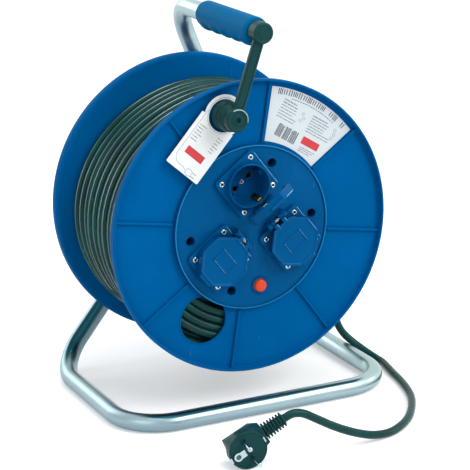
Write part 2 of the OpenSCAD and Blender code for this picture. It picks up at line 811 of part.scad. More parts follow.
module socket_rivets() {
    color(steel) for (i = [0 : 2]) on_socket(i) rivet_places() difference() {
        union() {
            rod(1.55, -panel_t - 1, plate_t, 24);
            capped_rod(2.8, plate_t, plate_t + rivet_head, 0.4);
            capped_rod(2.2, -panel_t - 1.1, -panel_t - 0.1, 0.2);
        }
        rod(1.05, -panel_t - 2, plate_t + 2, 24);
    }
}

// ---- Cut-out and wiring ----

stem_r = 2.6;
flange_low = -panel_t - 2;

module reset_button() {
    top_r = button_d / 2;
    color("red") on_panel() rotate([0, 0, button_angle]) translate([button_r, 0, 0]) union() {
        rotate_extrude($fn = small_fn) intersection() {
            translate([0, flange_low]) square([top_r, 2 + panel_t + button_h]);
            translate([0, button_h - 2 * top_r]) circle(r = 2 * top_r, $fn = round_fn);
        }
        rod(top_r + 1, flange_low, -panel_t - seat_gap);
        rod(stem_r, -panel_t - 9, flange_low + 0.5);
    }
}

module cutout_body() {
    top = flange_low - button_travel - seat_gap;
    side = 19.5;
    color(black) on_panel() rotate([0, 0, button_angle]) translate([button_r - 1, 0, 0]) difference() {
        union() {
            translate([-side / 2, -side / 2, top - 26]) cube([side, side, 26]);
            for (s = [-1, 1]) {
                // feet up to the panel's back
                translate([-4, s * (side / 2 - 0.9) - 0.9, top - 1]) cube([8, 1.8, -panel_t - seat_gap - top + 1]);
                translate([-3, s * 4 - 0.4, top - 34]) cube([6, 0.8, 9]);
            }
        }
        translate([1, 0, 0]) rod(stem_r + run_gap, top - 12, top + 1);
    }
}

// Where the cable enters the core tube
lead_angle = 160;
lead_z = -inner_z + 24;

module inner_lead() {
    color(black) on_drum() rotate([0, 0, lead_angle]) translate([0, 0, lead_z]) rotate([0, 90, 0])
        rod(cable_d / 2, 44, core_r);
}

module cord_clamp() {
    pad_z = -inner_z + 15;
    color(steel) on_drum() rotate([0, 0, lead_angle]) translate([60, 0, 0]) difference() {
        union() {
            translate([-5, -11, pad_z]) cube([10, 22, lead_z - pad_z]);
            translate([-5, 0, lead_z]) rotate([0, 90, 0]) cylinder(r = cable_d / 2 + 1.5, h = 10, $fn = small_fn);
            for (s = [-1, 1]) translate([0, s * 8, 0]) capped_rod(2.6, pad_z, lead_z + 2.4, 0.5);
        }
        translate([-6, 0, lead_z]) rotate([0, 90, 0]) cylinder(r = cable_d / 2 + fit_gap, h = 12, $fn = small_fn);
    }
}

module terminal_block() {
    pad_z = -inner_z + 15;
    color("ivory") on_drum() rotate([0, 0, lead_angle]) translate([34, 0, pad_z]) difference() {
        translate([-9, -11, 0]) cube([18, 22, 14]);
        for (y = [-7, 0, 7]) translate([0, y, 0]) {
            rod(2, 8, 15, 24);
            translate([-10, 0, 4.5]) rotate([0, 90, 0]) cylinder(r = 1.4, h = 20, $fn = 24);
        }
    }
}

// Leads from the terminal block up to the back of each socket
module core_wires() {
    back = panel_z + insert_z;
    row = [-7, 7, 0];
    colours = ["peru", "dodgerblue", "yellowgreen"];
    for (i = [0 : 2]) {
        a = panel_turn + socket_angle[i];
        tip = [socket_r * cos(a), socket_r * sin(a), back];
        block = [34 * cos(lead_angle), 34 * sin(lead_angle), -inner_z + 29.2];
        from = block + row[i] * [-sin(lead_angle), cos(lead_angle), 0];
        low = [tip[0] * 0.25 + from[0] * 0.75, tip[1] * 0.25 + from[1], 2];
        high = [tip[0] * 0.8 - 6, tip[1] * 0.8, 22];
        color(colours[i]) on_drum()
            swept_tube([from, from + [0, 0, 5], from + [0, 0, 16], low, high, tip - [0, 0, 8], tip], 1.3, 6);
    }
}

// ---- Cable on the drum ----

module cable_core() {
    half = inner_z - seat_gap;
    color(black) on_drum() rotate_extrude($fn = round_fn)
        translate([core_r + seat_gap, -half]) square([core_top - core_r - seat_gap, 2 * half]);
}

tight_at = 118;     // direction in which the turns lie tightest
tight_spread = 2.3; // the higher, the shorter the tight stretch
function wind_point(k) = let (
    a = 360 * k / loop_rings,
    r = wind_r - tighter * pow(max(0, cos(a - tight_at)), tight_spread)
) [r * cos(a), r * sin(a), wind_span * (k / (loop_rings * turns) - 0.5)];
function wind_dir(k) = unit(wind_point(k + 0.01) - wind_point(k - 0.01));

wind_last = loop_rings * turns;
wind_mid = [for (k = [0 : wind_last]) wind_point(k)];
wind_path = concat(
    [wind_point(0) - cable_d * wind_dir(0)], wind_mid, [wind_point(wind_last) + cable_d * wind_dir(wind_last)]
);
wind_gap = min([
    for (k = [0 : wind_last - loop_rings])
        min([for (j = [-2 : 2]) if (k + loop_rings + j <= wind_last)
            norm(wind_mid[k] - wind_mid[k + loop_rings + j])])
]) - cable_d;
echo("least gap between turns of the winding, mm", wind_gap);

module cable_winding() {
    color(black) on_drum() swept_tube(wind_path, cable_d / 2, 6);
}

// ---- Knob and tag ----

module winding_knob() {
    foot_r = knob_d / 2;
    color(black) on_drum() rotate([0, 0, knob_angle]) translate([knob_r, 0, knob_z]) difference() {
        rotate_extrude($fn = round_fn) difference() {
            union() {
                square([foot_r - 1.5, knob_h]);
                translate([0, 1.2]) square([foot_r, 3]);
                translate([foot_r - 1.5, 1.5]) circle(r = 1.5, $fn = 24);
                translate([foot_r - 2.4, knob_h * 0.62]) circle(r = 1.6, $fn = 24);
            }
            translate([foot_r + 1.6, 7.4]) circle(r = 3.4, $fn = small_fn);
            translate([foot_r, knob_h + 1]) circle(r = 5.6, $fn = small_fn);
        }
        rod(spindle_r + run_gap, -1, knob_h + 1);
        rod(7.2, knob_h - 4.5, knob_h + 1);
    }
}

module knob_spindle() {
    pocket_z = inner_z + 3.8;
    color(steel) on_drum() rotate([0, 0, knob_angle]) translate([knob_r, 0, 0]) union() {
        rod(7, inner_z + 0.4, pocket_z);
        rod(spindle_r, pocket_z, knob_top - 4);
        capped_rod(6.4, knob_top - 4.3, knob_top - 2, 0.8);
    }
}

module hang_tag() {
    lug_r = tag_w / 2 - 1;
    color("white") at_drum() translate([knob_at[0], knob_at[1], tag_z]) rotate([0, 0, tag_angle])
        translate([tag_drop, 0, 0]) linear_extrude(height = tag_t) difference() {
            union() {
                circle(r = lug_r, $fn = round_fn);
                translate([13, -tag_w / 2]) square([tag_l - 13, tag_w]);
                translate([0, -lug_r]) square([14, 2 * lug_r]);
            }
            circle(r = tag_hole, $fn = round_fn);
        }
}

// ---- Free cord and plug ----

cord_path = concat(cord_leave, cord_lie, [cord_near, cord_end]);

module free_cord() {
    color(black) translate([0, drum_y, 0]) swept_tube(cord_path, cable_d / 2, 8);
}

function path_length(p) = [for (i = 0, s = 0; i < len(p); i = i + 1,
    s = i < len(p) ? s + norm(p[i] - p[i - 1]) : s) s][len(p) - 1];
echo("length of the free cord, mm", path_length(cord_path));

module plug_body() {
    back_r = plug_d / 2 - 2;
    exit_w = 17;
    color(black) on_plug() difference() {
        union() {
            rod(plug_d / 2, 3, plug_face, round_fn);
            // moulded back that narrows towards the cable
            hull() {
                translate([0, 0, plug_back]) linear_extrude(height = 1) intersection() {
                    circle(r = back_r - 3, $fn = 32);
                    translate([-back_r, -11]) square([2 * back_r, 22]);
                }
                translate([0, 0, 3]) cylinder(r = back_r, h = 1, $fn = 32);
                translate([relief_x - 1, -exit_w / 2, -8]) cube([1, exit_w, 16]);
            }
        }
        for (s = [-1, 1]) {
            translate([0, s * pin_pitch / 2, 0]) rod(pin_root + fit_gap, plug_face - 8, plug_face + 1);
            // slots for the earth contacts in the rim
            translate([s * plug_d / 2 - 1.6, -3.2, plug_face - 9]) cube([3.2, 6.4, 10]);
        }
        translate([-earth_x, 0, 0]) rod(3, plug_face - 9, plug_face + 1);
    }
}

module plug_relief() {
    pitch = relief_l / relief_ribs;
    color(black) on_plug() translate([relief_x, 0, 0]) rotate([0, 90, 0]) difference() {
        rotate_extrude($fn = small_fn) {
            square([5.4, relief_l]);
            for (k = [0 : relief_ribs - 1]) translate([0, (k + 0.42) * pitch])
                square([7.4 + 0.9 * k / (relief_ribs - 1), pitch * 0.5]);
        }
        // mouth that the cable goes into
        rod(cable_d / 2 + 0.4, relief_l - 2, relief_l + 1);
    }
}

module plug_pins() {
    color(steel) on_plug() for (s = [-1, 1]) translate([0, s * pin_pitch / 2, 0]) {
        rod(pin_root, plug_face - 8, plug_face + 0.5);
        capped_rod(pin_d / 2, plug_face + 0.1, plug_face + pin_l, 0.9);
    }
}

module plug_earth() {
    rim_r = plug_d / 2;
    color(steel) on_plug() {
        for (s = [-1, 1]) translate([s * (rim_r - 0.7) - 0.7, -2.8, plug_face - 8.9]) cube([1.4, 5.6, 8.4]);
        // socket for an earth pin, with its plate on the face
        difference() {
            union() {
                translate([-earth_x, 0, 0]) rod(3 - fit_gap, plug_face - 9, plug_face);
                translate([-earth_x, 0, plug_face]) linear_extrude(height = 0.5) {
                    circle(r = 4.2, $fn = small_fn);
                    translate([0, -3.4]) square([8, 6.8]);
                }
            }
            translate([-earth_x, 0, 0]) rod(2.45, plug_face - 8, plug_face + 1);
        }
    }
}

frame_tube();
axle_spacer();
axle_bolt();
bearing_sleeve();
axle_washer();
axle_nut();
handle_grip();
handle_plug();
lock_arm();
rear_flange();
bearing_bush();
front_flange();
socket_panel();
drum_screws();
socket(0);  // socket_a
socket(1);  // socket_b
socket(2);  // socket_c
contacts(0);  // contacts_a
contacts(1);  // contacts_b
contacts(2);  // contacts_c
lid(0);  // lid_a
lid(1);  // lid_b
lid(2);  // lid_c
hinge_pin(0);  // hinge_pin_a
hinge_pin(1);  // hinge_pin_b
hinge_pin(2);  // hinge_pin_c
lid_spring(0);  // lid_spring_a
lid_spring(1);  // lid_spring_b
lid_spring(2);  // lid_spring_c
socket_rivets();
cutout_body();
reset_button();
terminal_block();
cord_clamp();
inner_lead();
core_wires();
cable_core();
cable_winding();
winding_knob();
knob_spindle();
hang_tag();
free_cord();
plug_body();
plug_relief();
plug_pins();
plug_earth();
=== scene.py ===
"""Cable drum with three sockets on a bent tube frame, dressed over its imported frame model."""

import json
import math

import bpy
from mathutils import Matrix, Vector


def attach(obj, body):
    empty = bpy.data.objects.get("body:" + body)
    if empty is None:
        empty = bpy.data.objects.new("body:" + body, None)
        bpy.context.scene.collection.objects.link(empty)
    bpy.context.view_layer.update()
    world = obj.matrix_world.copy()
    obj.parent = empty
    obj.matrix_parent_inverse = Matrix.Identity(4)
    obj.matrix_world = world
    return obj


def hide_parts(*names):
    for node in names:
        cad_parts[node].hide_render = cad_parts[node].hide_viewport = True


bl_info = {
    "name": "Extension Cord Reel",
    "version": (1, 0, 0),
    "blender": (4, 5, 0),
    "location": "View3D > Sidebar > Cord Reel",
    "description": "Models and finishes a hand-wound cable drum with sockets, handle, plug and cord",
    "category": "Add Mesh",
}

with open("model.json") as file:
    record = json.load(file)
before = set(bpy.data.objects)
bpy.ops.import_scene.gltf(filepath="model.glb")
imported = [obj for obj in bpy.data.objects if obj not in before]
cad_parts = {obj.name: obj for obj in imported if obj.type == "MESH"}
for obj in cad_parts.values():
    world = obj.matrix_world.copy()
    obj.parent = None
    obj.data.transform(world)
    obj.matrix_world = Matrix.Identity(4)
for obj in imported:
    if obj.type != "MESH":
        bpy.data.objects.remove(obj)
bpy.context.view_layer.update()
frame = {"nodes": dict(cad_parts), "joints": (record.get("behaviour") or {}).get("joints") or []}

MM = 0.001


def turn(degrees, axis="Z"):
    return Matrix.Rotation(math.radians(degrees), 4, axis)


def shift(x, y, z=0):
    """A move in millimetres."""
    return Matrix.Translation((x * MM, y * MM, z * MM))


def polar(radius, degrees):
    """The x and y of a place on a circle."""
    return radius * math.cos(math.radians(degrees)), radius * math.sin(math.radians(degrees))


SPIN = next(joint["pos_m"] for joint in frame["joints"] if joint["name"] == "drum_spin")

# Driving sizes in millimetres, and directions in degrees.
DRUM_TURN = -8
FACE_Z = 73
CORE_IN, CORE_OUT, CORE_HALF = 77, 80, 70.5
KNOB_R, KNOB_TURN = 118, 111.5
WINDOW_R, WINDOW_TURN = 101, 247
RIB_LAG = 1.5
PANEL_Z, PANEL_TURN = 77, 45
SOCKET_R, SOCKET_TURNS = 44, ((60, 0), (180, 90), (300, 180))
SCREW_R, SCREW_TURNS = 65, (32.5, -32.5, 147.5, 212.5)
BUTTON_R, BUTTON_TURN = 60, 240
HINGE_Y, HINGE_Z = -28, 7
LID_REST = (64, 0, 0)
BLOCK_R, BLOCK_TURN, BLOCK_Z = 34, 160, -40.8
HANDLE_H = 194.0
RIVETS = [(x, y) for x in (-19, 19) for y in (-19, 19)]
WIRE_R, SPRING_WIRE_R, BEAD_R = 1.3, 0.45, 1.3
LABEL_TURN = 65.7
LETTERS = "abc"

# Places in the reel. In each of them z points out of the front, and DRUM has x to the right and y up.
DRUM = Matrix.Translation(SPIN) @ turn(90, "X")
TURNED = DRUM @ turn(DRUM_TURN)
PANEL = TURNED @ turn(PANEL_TURN) @ shift(0, 0, PANEL_Z)
SOCKETS = [PANEL @ turn(around) @ shift(SOCKET_R, 0) @ turn(hinge - around) for around, hinge in SOCKET_TURNS]
BUTTON = PANEL @ turn(BUTTON_TURN) @ shift(BUTTON_R, 0)
KNOB = TURNED @ turn(KNOB_TURN) @ shift(KNOB_R, 0, 80.8)
KNOB_XY = polar(KNOB_R, KNOB_TURN + DRUM_TURN)
GRIP = DRUM @ shift(0, HANDLE_H)
PLUG = Matrix.Translation((-75 * MM, SPIN[1] - 207 * MM, 18.8 * MM)) @ turn(-7) @ turn(90, "X") @ turn(28)


def plain(red, green, blue):
    """A colour given in screen values from 0 to 255, as Blender's linear colour."""
    values = (red / 255, green / 255, blue / 255)
    return tuple(v / 12.92 if v <= 0.04045 else ((v + 0.055) / 1.055) ** 2.4 for v in values)


# ---------------------------------------------------------------- settings


class ReelSizes(bpy.types.PropertyGroup):
    """Sizes of the pieces that are modelled here."""

    cable: bpy.props.FloatProperty(
        name="Cable", description="Outer diameter of the cable", default=0.008,
        min=0.006, max=0.0084, unit="LENGTH",
    )
    turns: bpy.props.IntProperty(
        name="Turns", description="Turns of cable across the drum", default=11, min=8, max=14,
    )
    slack: bpy.props.FloatProperty(
        name="Slack", description="How far the turns wander from an even winding", default=0.0016,
        min=0.0, max=0.002, unit="LENGTH",
    )
    layers: bpy.props.IntProperty(
        name="Side layers", description="Layers of cable seen from the side", default=5, min=3, max=6,
    )
    finger: bpy.props.FloatProperty(
        name="Finger lobes", description="How far the lobes stand out under the grip", default=0.003,
        min=0.0015, max=0.0035, unit="LENGTH",
    )
    relief_ribs: bpy.props.IntProperty(
        name="Relief ribs", description="Ribs on the plug's strain relief", default=7, min=4, max=9,
    )


class ReelColours(bpy.types.PropertyGroup):
    """Colours of the finishes."""

    drum: bpy.props.FloatVectorProperty(
        name="Drum", description="Moulded plastic of the drum", subtype="COLOR",
        default=plain(0, 89, 150), min=0, max=1,
    )
    grip: bpy.props.FloatVectorProperty(
        name="Grip", description="Soft plastic of the grip", subtype="COLOR",
        default=plain(0, 100, 150), min=0, max=1,
    )
    black: bpy.props.FloatVectorProperty(
        name="Black plastic", description="Knob, lock arm and plug", subtype="COLOR",
        default=plain(18, 58, 58), min=0, max=1,
    )
    cable: bpy.props.FloatVectorProperty(
        name="Cable", description="Sheath of the cable", subtype="COLOR",
        default=plain(18, 46, 48), min=0, max=1,
    )
    button: bpy.props.FloatVectorProperty(
        name="Button", description="Cap of the reset button", subtype="COLOR",
        default=plain(226, 74, 48), min=0, max=1,
    )
    steel: bpy.props.FloatVectorProperty(
        name="Zinc", description="Zinc plating of the tube frame", subtype="COLOR",
        default=plain(176, 198, 205), min=0, max=1,
    )


# ---------------------------------------------------------------- making and placing


def nothing_selected():
    if bpy.context.object and bpy.context.object.mode != "OBJECT":
        bpy.ops.object.mode_set(mode="OBJECT")
    bpy.ops.object.select_all(action="DESELECT")


def pick(*pieces):
    nothing_selected()
    for piece in pieces:
        piece.select_set(True)
    bpy.context.view_layer.objects.active = pieces[0]


def edit(piece, kind="VERT"):
    pick(piece)
    bpy.ops.object.mode_set(mode="EDIT")
    bpy.ops.mesh.select_mode(type=kind)
    bpy.ops.mesh.select_all(action="SELECT")


def done():
    bpy.ops.object.mode_set(mode="OBJECT")


def settle(piece, place=None):
    """Puts a piece in its place and keeps the place in its mesh."""
    pick(piece)
    if place is not None:
        piece.matrix_world = place @ piece.matrix_world
    bpy.ops.object.transform_apply(location=True, rotation=True, scale=True)
    return piece


def modified(piece, kind, **settings):
    pick(piece)
    bpy.ops.object.modifier_add(type=kind)
    modifier = piece.modifiers[-1]
    for name, value in settings.items():
        setattr(modifier, name, value)
    bpy.ops.object.modifier_apply(modifier=modifier.name)
    return piece


def softened(piece, width, segments=2, angle=35):
    """Rounds the sharp edges. The width is in millimetres."""
    return modified(
        piece, "BEVEL", width=width * MM, segments=segments, limit_method="ANGLE",
        angle_limit=math.radians(angle), use_clamp_overlap=True, harden_normals=False,
    )


def smooth(piece, angle=32):
    pick(piece)
    bpy.ops.object.shade_smooth_by_angle(angle=math.radians(angle))
    return piece


def copied(piece, name, place=None):
    pick(piece)
    bpy.ops.object.duplicate()
    twin = bpy.context.object
    twin.name = name
    return settle(twin, place)


def joined(name, *pieces):
    pick(*pieces)
    bpy.ops.object.join()
    pieces[0].name = name
    return pieces[0]


def cut(piece, *tools):
    for tool in tools:
        modified(piece, "BOOLEAN", operation="DIFFERENCE", solver="EXACT", object=tool)
        bpy.data.objects.remove(tool)
    return piece


def chain(name, points, close=True):
    """Edges through points in millimetres, drawn by extruding one vertex from each to the next."""
    nothing_selected()
    bpy.ops.mesh.primitive_plane_add(size=MM)
    piece = bpy.context.object
    piece.name = name
    edit(piece)
    bpy.ops.mesh.merge(type="CENTER")
    points = [Vector(p) * MM for p in points]
    bpy.ops.transform.translate(value=points[0])
    for here, there in zip(points, points[1:] + (points[:1] if close else [])):
        bpy.ops.mesh.extrude_region_move(TRANSFORM_OT_translate={"value": there - here})
    bpy.ops.mesh.select_all(action="SELECT")
    bpy.ops.mesh.remove_doubles(threshold=1e-6)
    return piece


def turned(name, outline, steps=96, soft=0.0, hollow=False):
    """A lathe piece: radius and height of its outline in millimetres, spun round z.
    The outline starts and ends on the axis, or closes on itself where the piece is hollow."""
    piece = chain(name, [(r, 0, z) for r, z in outline], close=hollow)
    bpy.ops.mesh.select_all(action="SELECT")
    bpy.ops.mesh.spin(steps=steps, angle=math.tau, center=(0, 0, 0), axis=(0, 0, 1))
    bpy.ops.mesh.select_all(action="SELECT")
    bpy.ops.mesh.remove_doubles(threshold=2e-6)
    return closed(piece, soft, 2)


def plate(name, outline, low, high, soft=0.0, segments=2):
    """A flat piece: its outline in millimetres, filled and pulled up from low to high."""
    piece = chain(name, [(x, y, low) for x, y in outline])
    bpy.ops.mesh.select_all(action="SELECT")
    bpy.ops.mesh.edge_face_add()
    bpy.ops.mesh.select_all(action="SELECT")
    bpy.ops.mesh.extrude_region_move(TRANSFORM_OT_translate={"value": (0, 0, (high - low) * MM)})
    return closed(piece, soft, segments, 50)


def closed(piece, soft, segments, angle=35):
    """Turns all faces outwards and leaves edit mode, then rounds the sharp edges where asked."""
    bpy.ops.mesh.select_all(action="SELECT")
    bpy.ops.mesh.normals_make_consistent(inside=False)
    done()
    if soft:
        softened(piece, soft, segments, angle)
    return smooth(piece)


def block(name, low, high, soft=0.4, segments=2):
    """A box between two corners in millimetres, with rounded edges."""
    nothing_selected()
    bpy.ops.mesh.primitive_cube_add(size=1)
    piece = bpy.context.object
    piece.name = name
    size = [b - a for a, b in zip(low, high)]
    piece.scale = [s * MM for s in size]
    piece.location = [(a + b) / 2 * MM for a, b in zip(low, high)]
    settle(piece)
    if soft:
        softened(piece, min(soft, min(size) * 0.45), segments)
    return smooth(piece)


def rod(name, radius, low, high, at=(0, 0), soft=0.0, steps=32, along=None):
    """A round bar along z, or along x where asked, between two distances in millimetres."""
    nothing_selected()
    bpy.ops.mesh.primitive_cylinder_add(vertices=steps, radius=radius * MM, depth=(high - low) * MM)
    piece = bpy.context.object
    piece.name = name
    lift = shift(0, 0, (low + high) / 2)
    settle(piece, (turn(90, "Y") @ lift) if along == "x" else shift(at[0], at[1], 0) @ lift)
    if soft:
        softened(piece, soft, 2, angle=50)
    return smooth(piece)


def round_curve(name, kind, count, radius, rings):
    """A round curve with a number of knots, which are still to be placed."""
    line = bpy.data.curves.new(name, "CURVE")
    line.dimensions = "3D"
    line.bevel_depth = radius
    line.bevel_resolution = rings
    line.use_fill_caps = True
    spline = line.splines.new(kind)
    knots = spline.bezier_points if kind == "BEZIER" else spline.points
    knots.add(count - 1)
    piece = bpy.data.objects.new(name, line)
    bpy.context.collection.objects.link(piece)
    return piece, knots


def run_along(name, points, radius, rings=2):
    """A round tube along points in metres, drawn as a curve and made a mesh."""
    piece, knots = round_curve(name, "POLY", len(points), radius, rings)
    for knot, point in zip(knots, points):
        knot.co = (*point, 1)
    pick(piece)
    bpy.ops.object.convert(target="MESH")
    piece = bpy.context.object
    edit(piece)
    bpy.ops.mesh.remove_doubles(threshold=1e-6)
    bpy.ops.mesh.normals_make_consistent(inside=False)
    done()
    return smooth(piece, 60)


def arc(radius, start, end, count):
    """Points on an arc about the origin, angles in degrees."""
    step = (end - start) / count
    return [polar(radius, start + k * step) for k in range(count + 1)]


def rounded_square(side, corner, count=6):
    points = []
    for x, y, start in ((1, 1, 0), (-1, 1, 90), (-1, -1, 180), (1, -1, 270)):
        centre = (x * (side / 2 - corner), y * (side / 2 - corner))
        points += [(centre[0] + px, centre[1] + py) for px, py in arc(corner, start, start + 90, count)]
    return points


def wear(piece, body, finish, slot, *nodes):
    """Finishes a piece: its material, the body it moves with and the nodes it stands for."""
    piece.data.materials.clear()
    piece.data.materials.append(FINISHES[finish])
    piece.data.name = piece.name
    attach(piece, body)
    if nodes:
        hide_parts(*nodes)
    if len(piece.data.polygons) < 30000:
        modified(piece, "WEIGHTED_NORMAL", keep_sharp=True)
    return piece


def give_painted_highlight(piece, finish, test):
    """Gives the narrow faces that pass a test a second, paler finish, which paints a highlight on them."""
    piece.data.materials.append(FINISHES[finish])
    for face in piece.data.polygons:
        if test(piece, face):
            face.material_index = 1
    return piece


# narrow faces that face the lamps at the upper right, where a highlight is painted
def upper_right_edge(piece, face):
    points = piece.data.vertices
    longest = max((points[a].co - points[b].co).length for a, b in face.edge_keys)
    facing = face.normal.dot(Vector((0.606, -0.793, 0.606)).normalized())
    return facing > 0.9 and 5 * MM < longest and face.area < longest * 0.7 * MM


# the top of the panel's lip and its upper right edges, where a highlight is painted
def panel_edge(piece, face):
    middle = PANEL.inverted() @ face.center / MM
    return upper_right_edge(piece, face) or 80.0 < middle.xy.length < 80.7 and middle.z > 1.2


# the upper right arc of the eye's rim, where a highlight is painted
def eye_edge(piece, face):
    middle = DRUM.inverted() @ face.center / MM - Vector((*KNOB_XY, 109.3))
    around = math.degrees(math.atan2(middle.y, middle.x))
    return 10.0 < middle.xy.length < 10.8 and abs(middle.z) < 1 and -15 < around < 115


def coat(finish, *nodes):
    """Gives carried-over nodes their finish."""
    for name in nodes:
        for slot in frame["nodes"][name].material_slots:
            slot.material = FINISHES[finish]


# ---------------------------------------------------------------- finishes


def new_group(name, inputs, outputs):
    group = bpy.data.node_groups.new(name, "ShaderNodeTree")
    for label, default in inputs:
        socket = group.interface.new_socket(name=label, in_out="INPUT", socket_type="NodeSocketFloat")
        socket.default_value = default
    for label, kind in outputs:
        group.interface.new_socket(name=label, in_out="OUTPUT", socket_type=kind)
    return group, group.nodes.new("NodeGroupInput"), group.nodes.new("NodeGroupOutput")


def node(tree, kind, **settings):
    made = tree.nodes.new(kind)
    for name, value in settings.items():
        setattr(made, name, value)
    return made


def put(tree, socket, value):
    """Sets a socket to a number or a colour, or links another socket to it."""
    if hasattr(value, "links"):
        tree.links.new(value, socket)
    elif isinstance(value, (int, float)):
        socket.default_value = value
    else:
        socket.default_value = (*value[:3], 1)


def math_node(tree, operation, *values):
    made = node(tree, "ShaderNodeMath", operation=operation)
    for socket, value in zip(made.inputs, values):
        put(tree, socket, value)
    return made.outputs[0]


def object_place(tree):
    return node(tree, "ShaderNodeTexCoord").outputs["Object"]


def attribute(tree, name):
    return node(tree, "ShaderNodeAttribute", attribute_name=name).outputs["Fac"]


def stretched(tree, vector, scale, rotation=(0, 0, 0)):
    made = node(tree, "ShaderNodeMapping")
    made.inputs["Rotation"].default_value = rotation
    made.inputs["Scale"].default_value = scale
    tree.links.new(vector, made.inputs["Vector"])
    return made.outputs[0]


def noise(tree, vector, scale, detail=3.0):
    made = node(tree, "ShaderNodeTexNoise")
    for label, value in (("Vector", vector), ("Scale", scale), ("Detail", detail)):
        put(tree, made.inputs[label], value)
    return made.outputs["Fac"]


def spread(tree, value, low, high, to_low=0.0, to_high=1.0):
    """Maps the values between low and high on another range, and goes no further."""
    made = node(tree, "ShaderNodeMapRange")
    for socket, amount in zip(made.inputs, (value, low, high, to_low, to_high)):
        put(tree, socket, amount)
    return made.outputs["Result"]


def mixed(tree, factor, first, second):
    made = node(tree, "ShaderNodeMix", data_type="RGBA")
    for socket, value in zip((made.inputs[0], *made.inputs[6:8]), (factor, first, second)):
        put(tree, socket, value)
    return made.outputs[2]


def moulded_grain():
    """Fine grain and slow unevenness of a moulded surface."""
    group, given, result = new_group(
        "Moulded grain",
        (("Scale", 900.0), ("Depth", 0.5), ("Gloss low", 0.35), ("Gloss high", 0.5)),
        (("Height", "NodeSocketFloat"), ("Roughness", "NodeSocketFloat"), ("Tone", "NodeSocketFloat")),
    )
    place = object_place(group)
    fine = noise(group, place, given.outputs["Scale"], 2.0)
    slow = noise(group, place, 14.0)
    gloss = spread(group, slow, 0.3, 0.7, given.outputs["Gloss low"], given.outputs["Gloss high"])
    put(group, result.inputs["Height"], math_node(group, "MULTIPLY", fine, given.outputs["Depth"]))
    put(group, result.inputs["Roughness"], gloss)
    put(group, result.inputs["Tone"], spread(group, slow, 0.3, 0.7))
    return group


def handling_marks():
    """Thin scuffs in two directions and specks of dust, as a mask."""
    group, given, result = new_group(
        "Handling marks", (("Amount", 0.5), ("Specks", 0.3)), (("Mask", "NodeSocketFloat"),)
    )
    place = object_place(group)
    lines = []
    for angle, scale in ((20, (900, 14, 60)), (115, (16, 800, 50))):
        along = stretched(group, place, scale, (0.3, math.radians(angle), 0.2))
        lines.append(spread(group, noise(group, along, 1.0, 2.0), 0.70, 0.76))
    patches = spread(group, noise(group, place, 22.0, 2.0), 0.5, 0.65)
    scuffs = math_node(group, "MULTIPLY", math_node(group, "MAXIMUM", *lines), patches)
    scuffs = math_node(group, "MULTIPLY", scuffs, given.outputs["Amount"])
    specks = spread(group, noise(group, place, 1500.0, 1.0), 0.72, 0.78)
    specks = math_node(group, "MULTIPLY", specks, given.outputs["Specks"])
    put(group, result.inputs["Mask"], math_node(group, "MAXIMUM", scuffs, specks))
    return group


GROUPS = {}
FINISHES = {}


def placed_group(tree, name, **values):
    made = node(tree, "ShaderNodeGroup", node_tree=GROUPS[name])
    for label, value in values.items():
        made.inputs[label.replace("_", " ")].default_value = value
    return made


def bare_material(name, **sockets):
    finish = bpy.data.materials.new(name)
    finish.use_nodes = True
    tree = finish.node_tree
    shader = tree.nodes["Principled BSDF"]
    for label, value in sockets.items():
        shader.inputs[label.replace("_", " ")].default_value = value
    return finish, tree, shader


def surface(tree, shader, colour, rough, relief=None, strength=0.1, distance=0.0002):
    """Feeds a material's shader its colour, its roughness and its fine relief."""
    put(tree, shader.inputs["Base Color"], colour)
    put(tree, shader.inputs["Roughness"], rough)
    if relief is None:
        return
    bump = node(tree, "ShaderNodeBump")
    for label, value in (("Strength", strength), ("Distance", distance), ("Height", relief)):
        put(tree, bump.inputs[label], value)
    put(tree, shader.inputs["Normal"], bump.outputs["Normal"])


def plastic(name, colour, pale, low, high, scale=1100.0, depth=0.5, marks=0.5, bump=0.12, shine=0.16,
            tint=(0.5, 0.9, 1.0)):
    """Moulded plastic: two close shades of one colour, fine grain, light scuffs."""
    finish, tree, shader = bare_material(name, IOR=1.49, Specular_IOR_Level=shine, Specular_Tint=(*tint, 1))
    grain = placed_group(tree, "Moulded grain", Scale=scale, Depth=depth, Gloss_low=low, Gloss_high=high)
    scuffs = placed_group(tree, "Handling marks", Amount=marks, Specks=marks * 0.5)
    base = mixed(tree, grain.outputs["Tone"], tuple(c * 0.88 for c in colour), colour)
    base = mixed(tree, scuffs.outputs["Mask"], base, pale)
    rough = math_node(tree, "MULTIPLY_ADD", scuffs.outputs["Mask"], 0.15, grain.outputs["Roughness"])
    surface(tree, shader, base, rough, grain.outputs["Height"], bump)
    return finish


def metal(name, colour, dark, low, high, scale=400.0):
    """Bare or plated metal with fine unevenness."""
    finish, tree, shader = bare_material(name, Metallic=1.0)
    place = object_place(tree)
    fine = noise(tree, place, scale)
    base = mixed(tree, spread(tree, noise(tree, place, 30.0), 0.35, 0.7), dark, colour)
    surface(tree, shader, base, spread(tree, fine, 0.3, 0.7, low, high), fine, 0.05, 0.0001)
    return finish


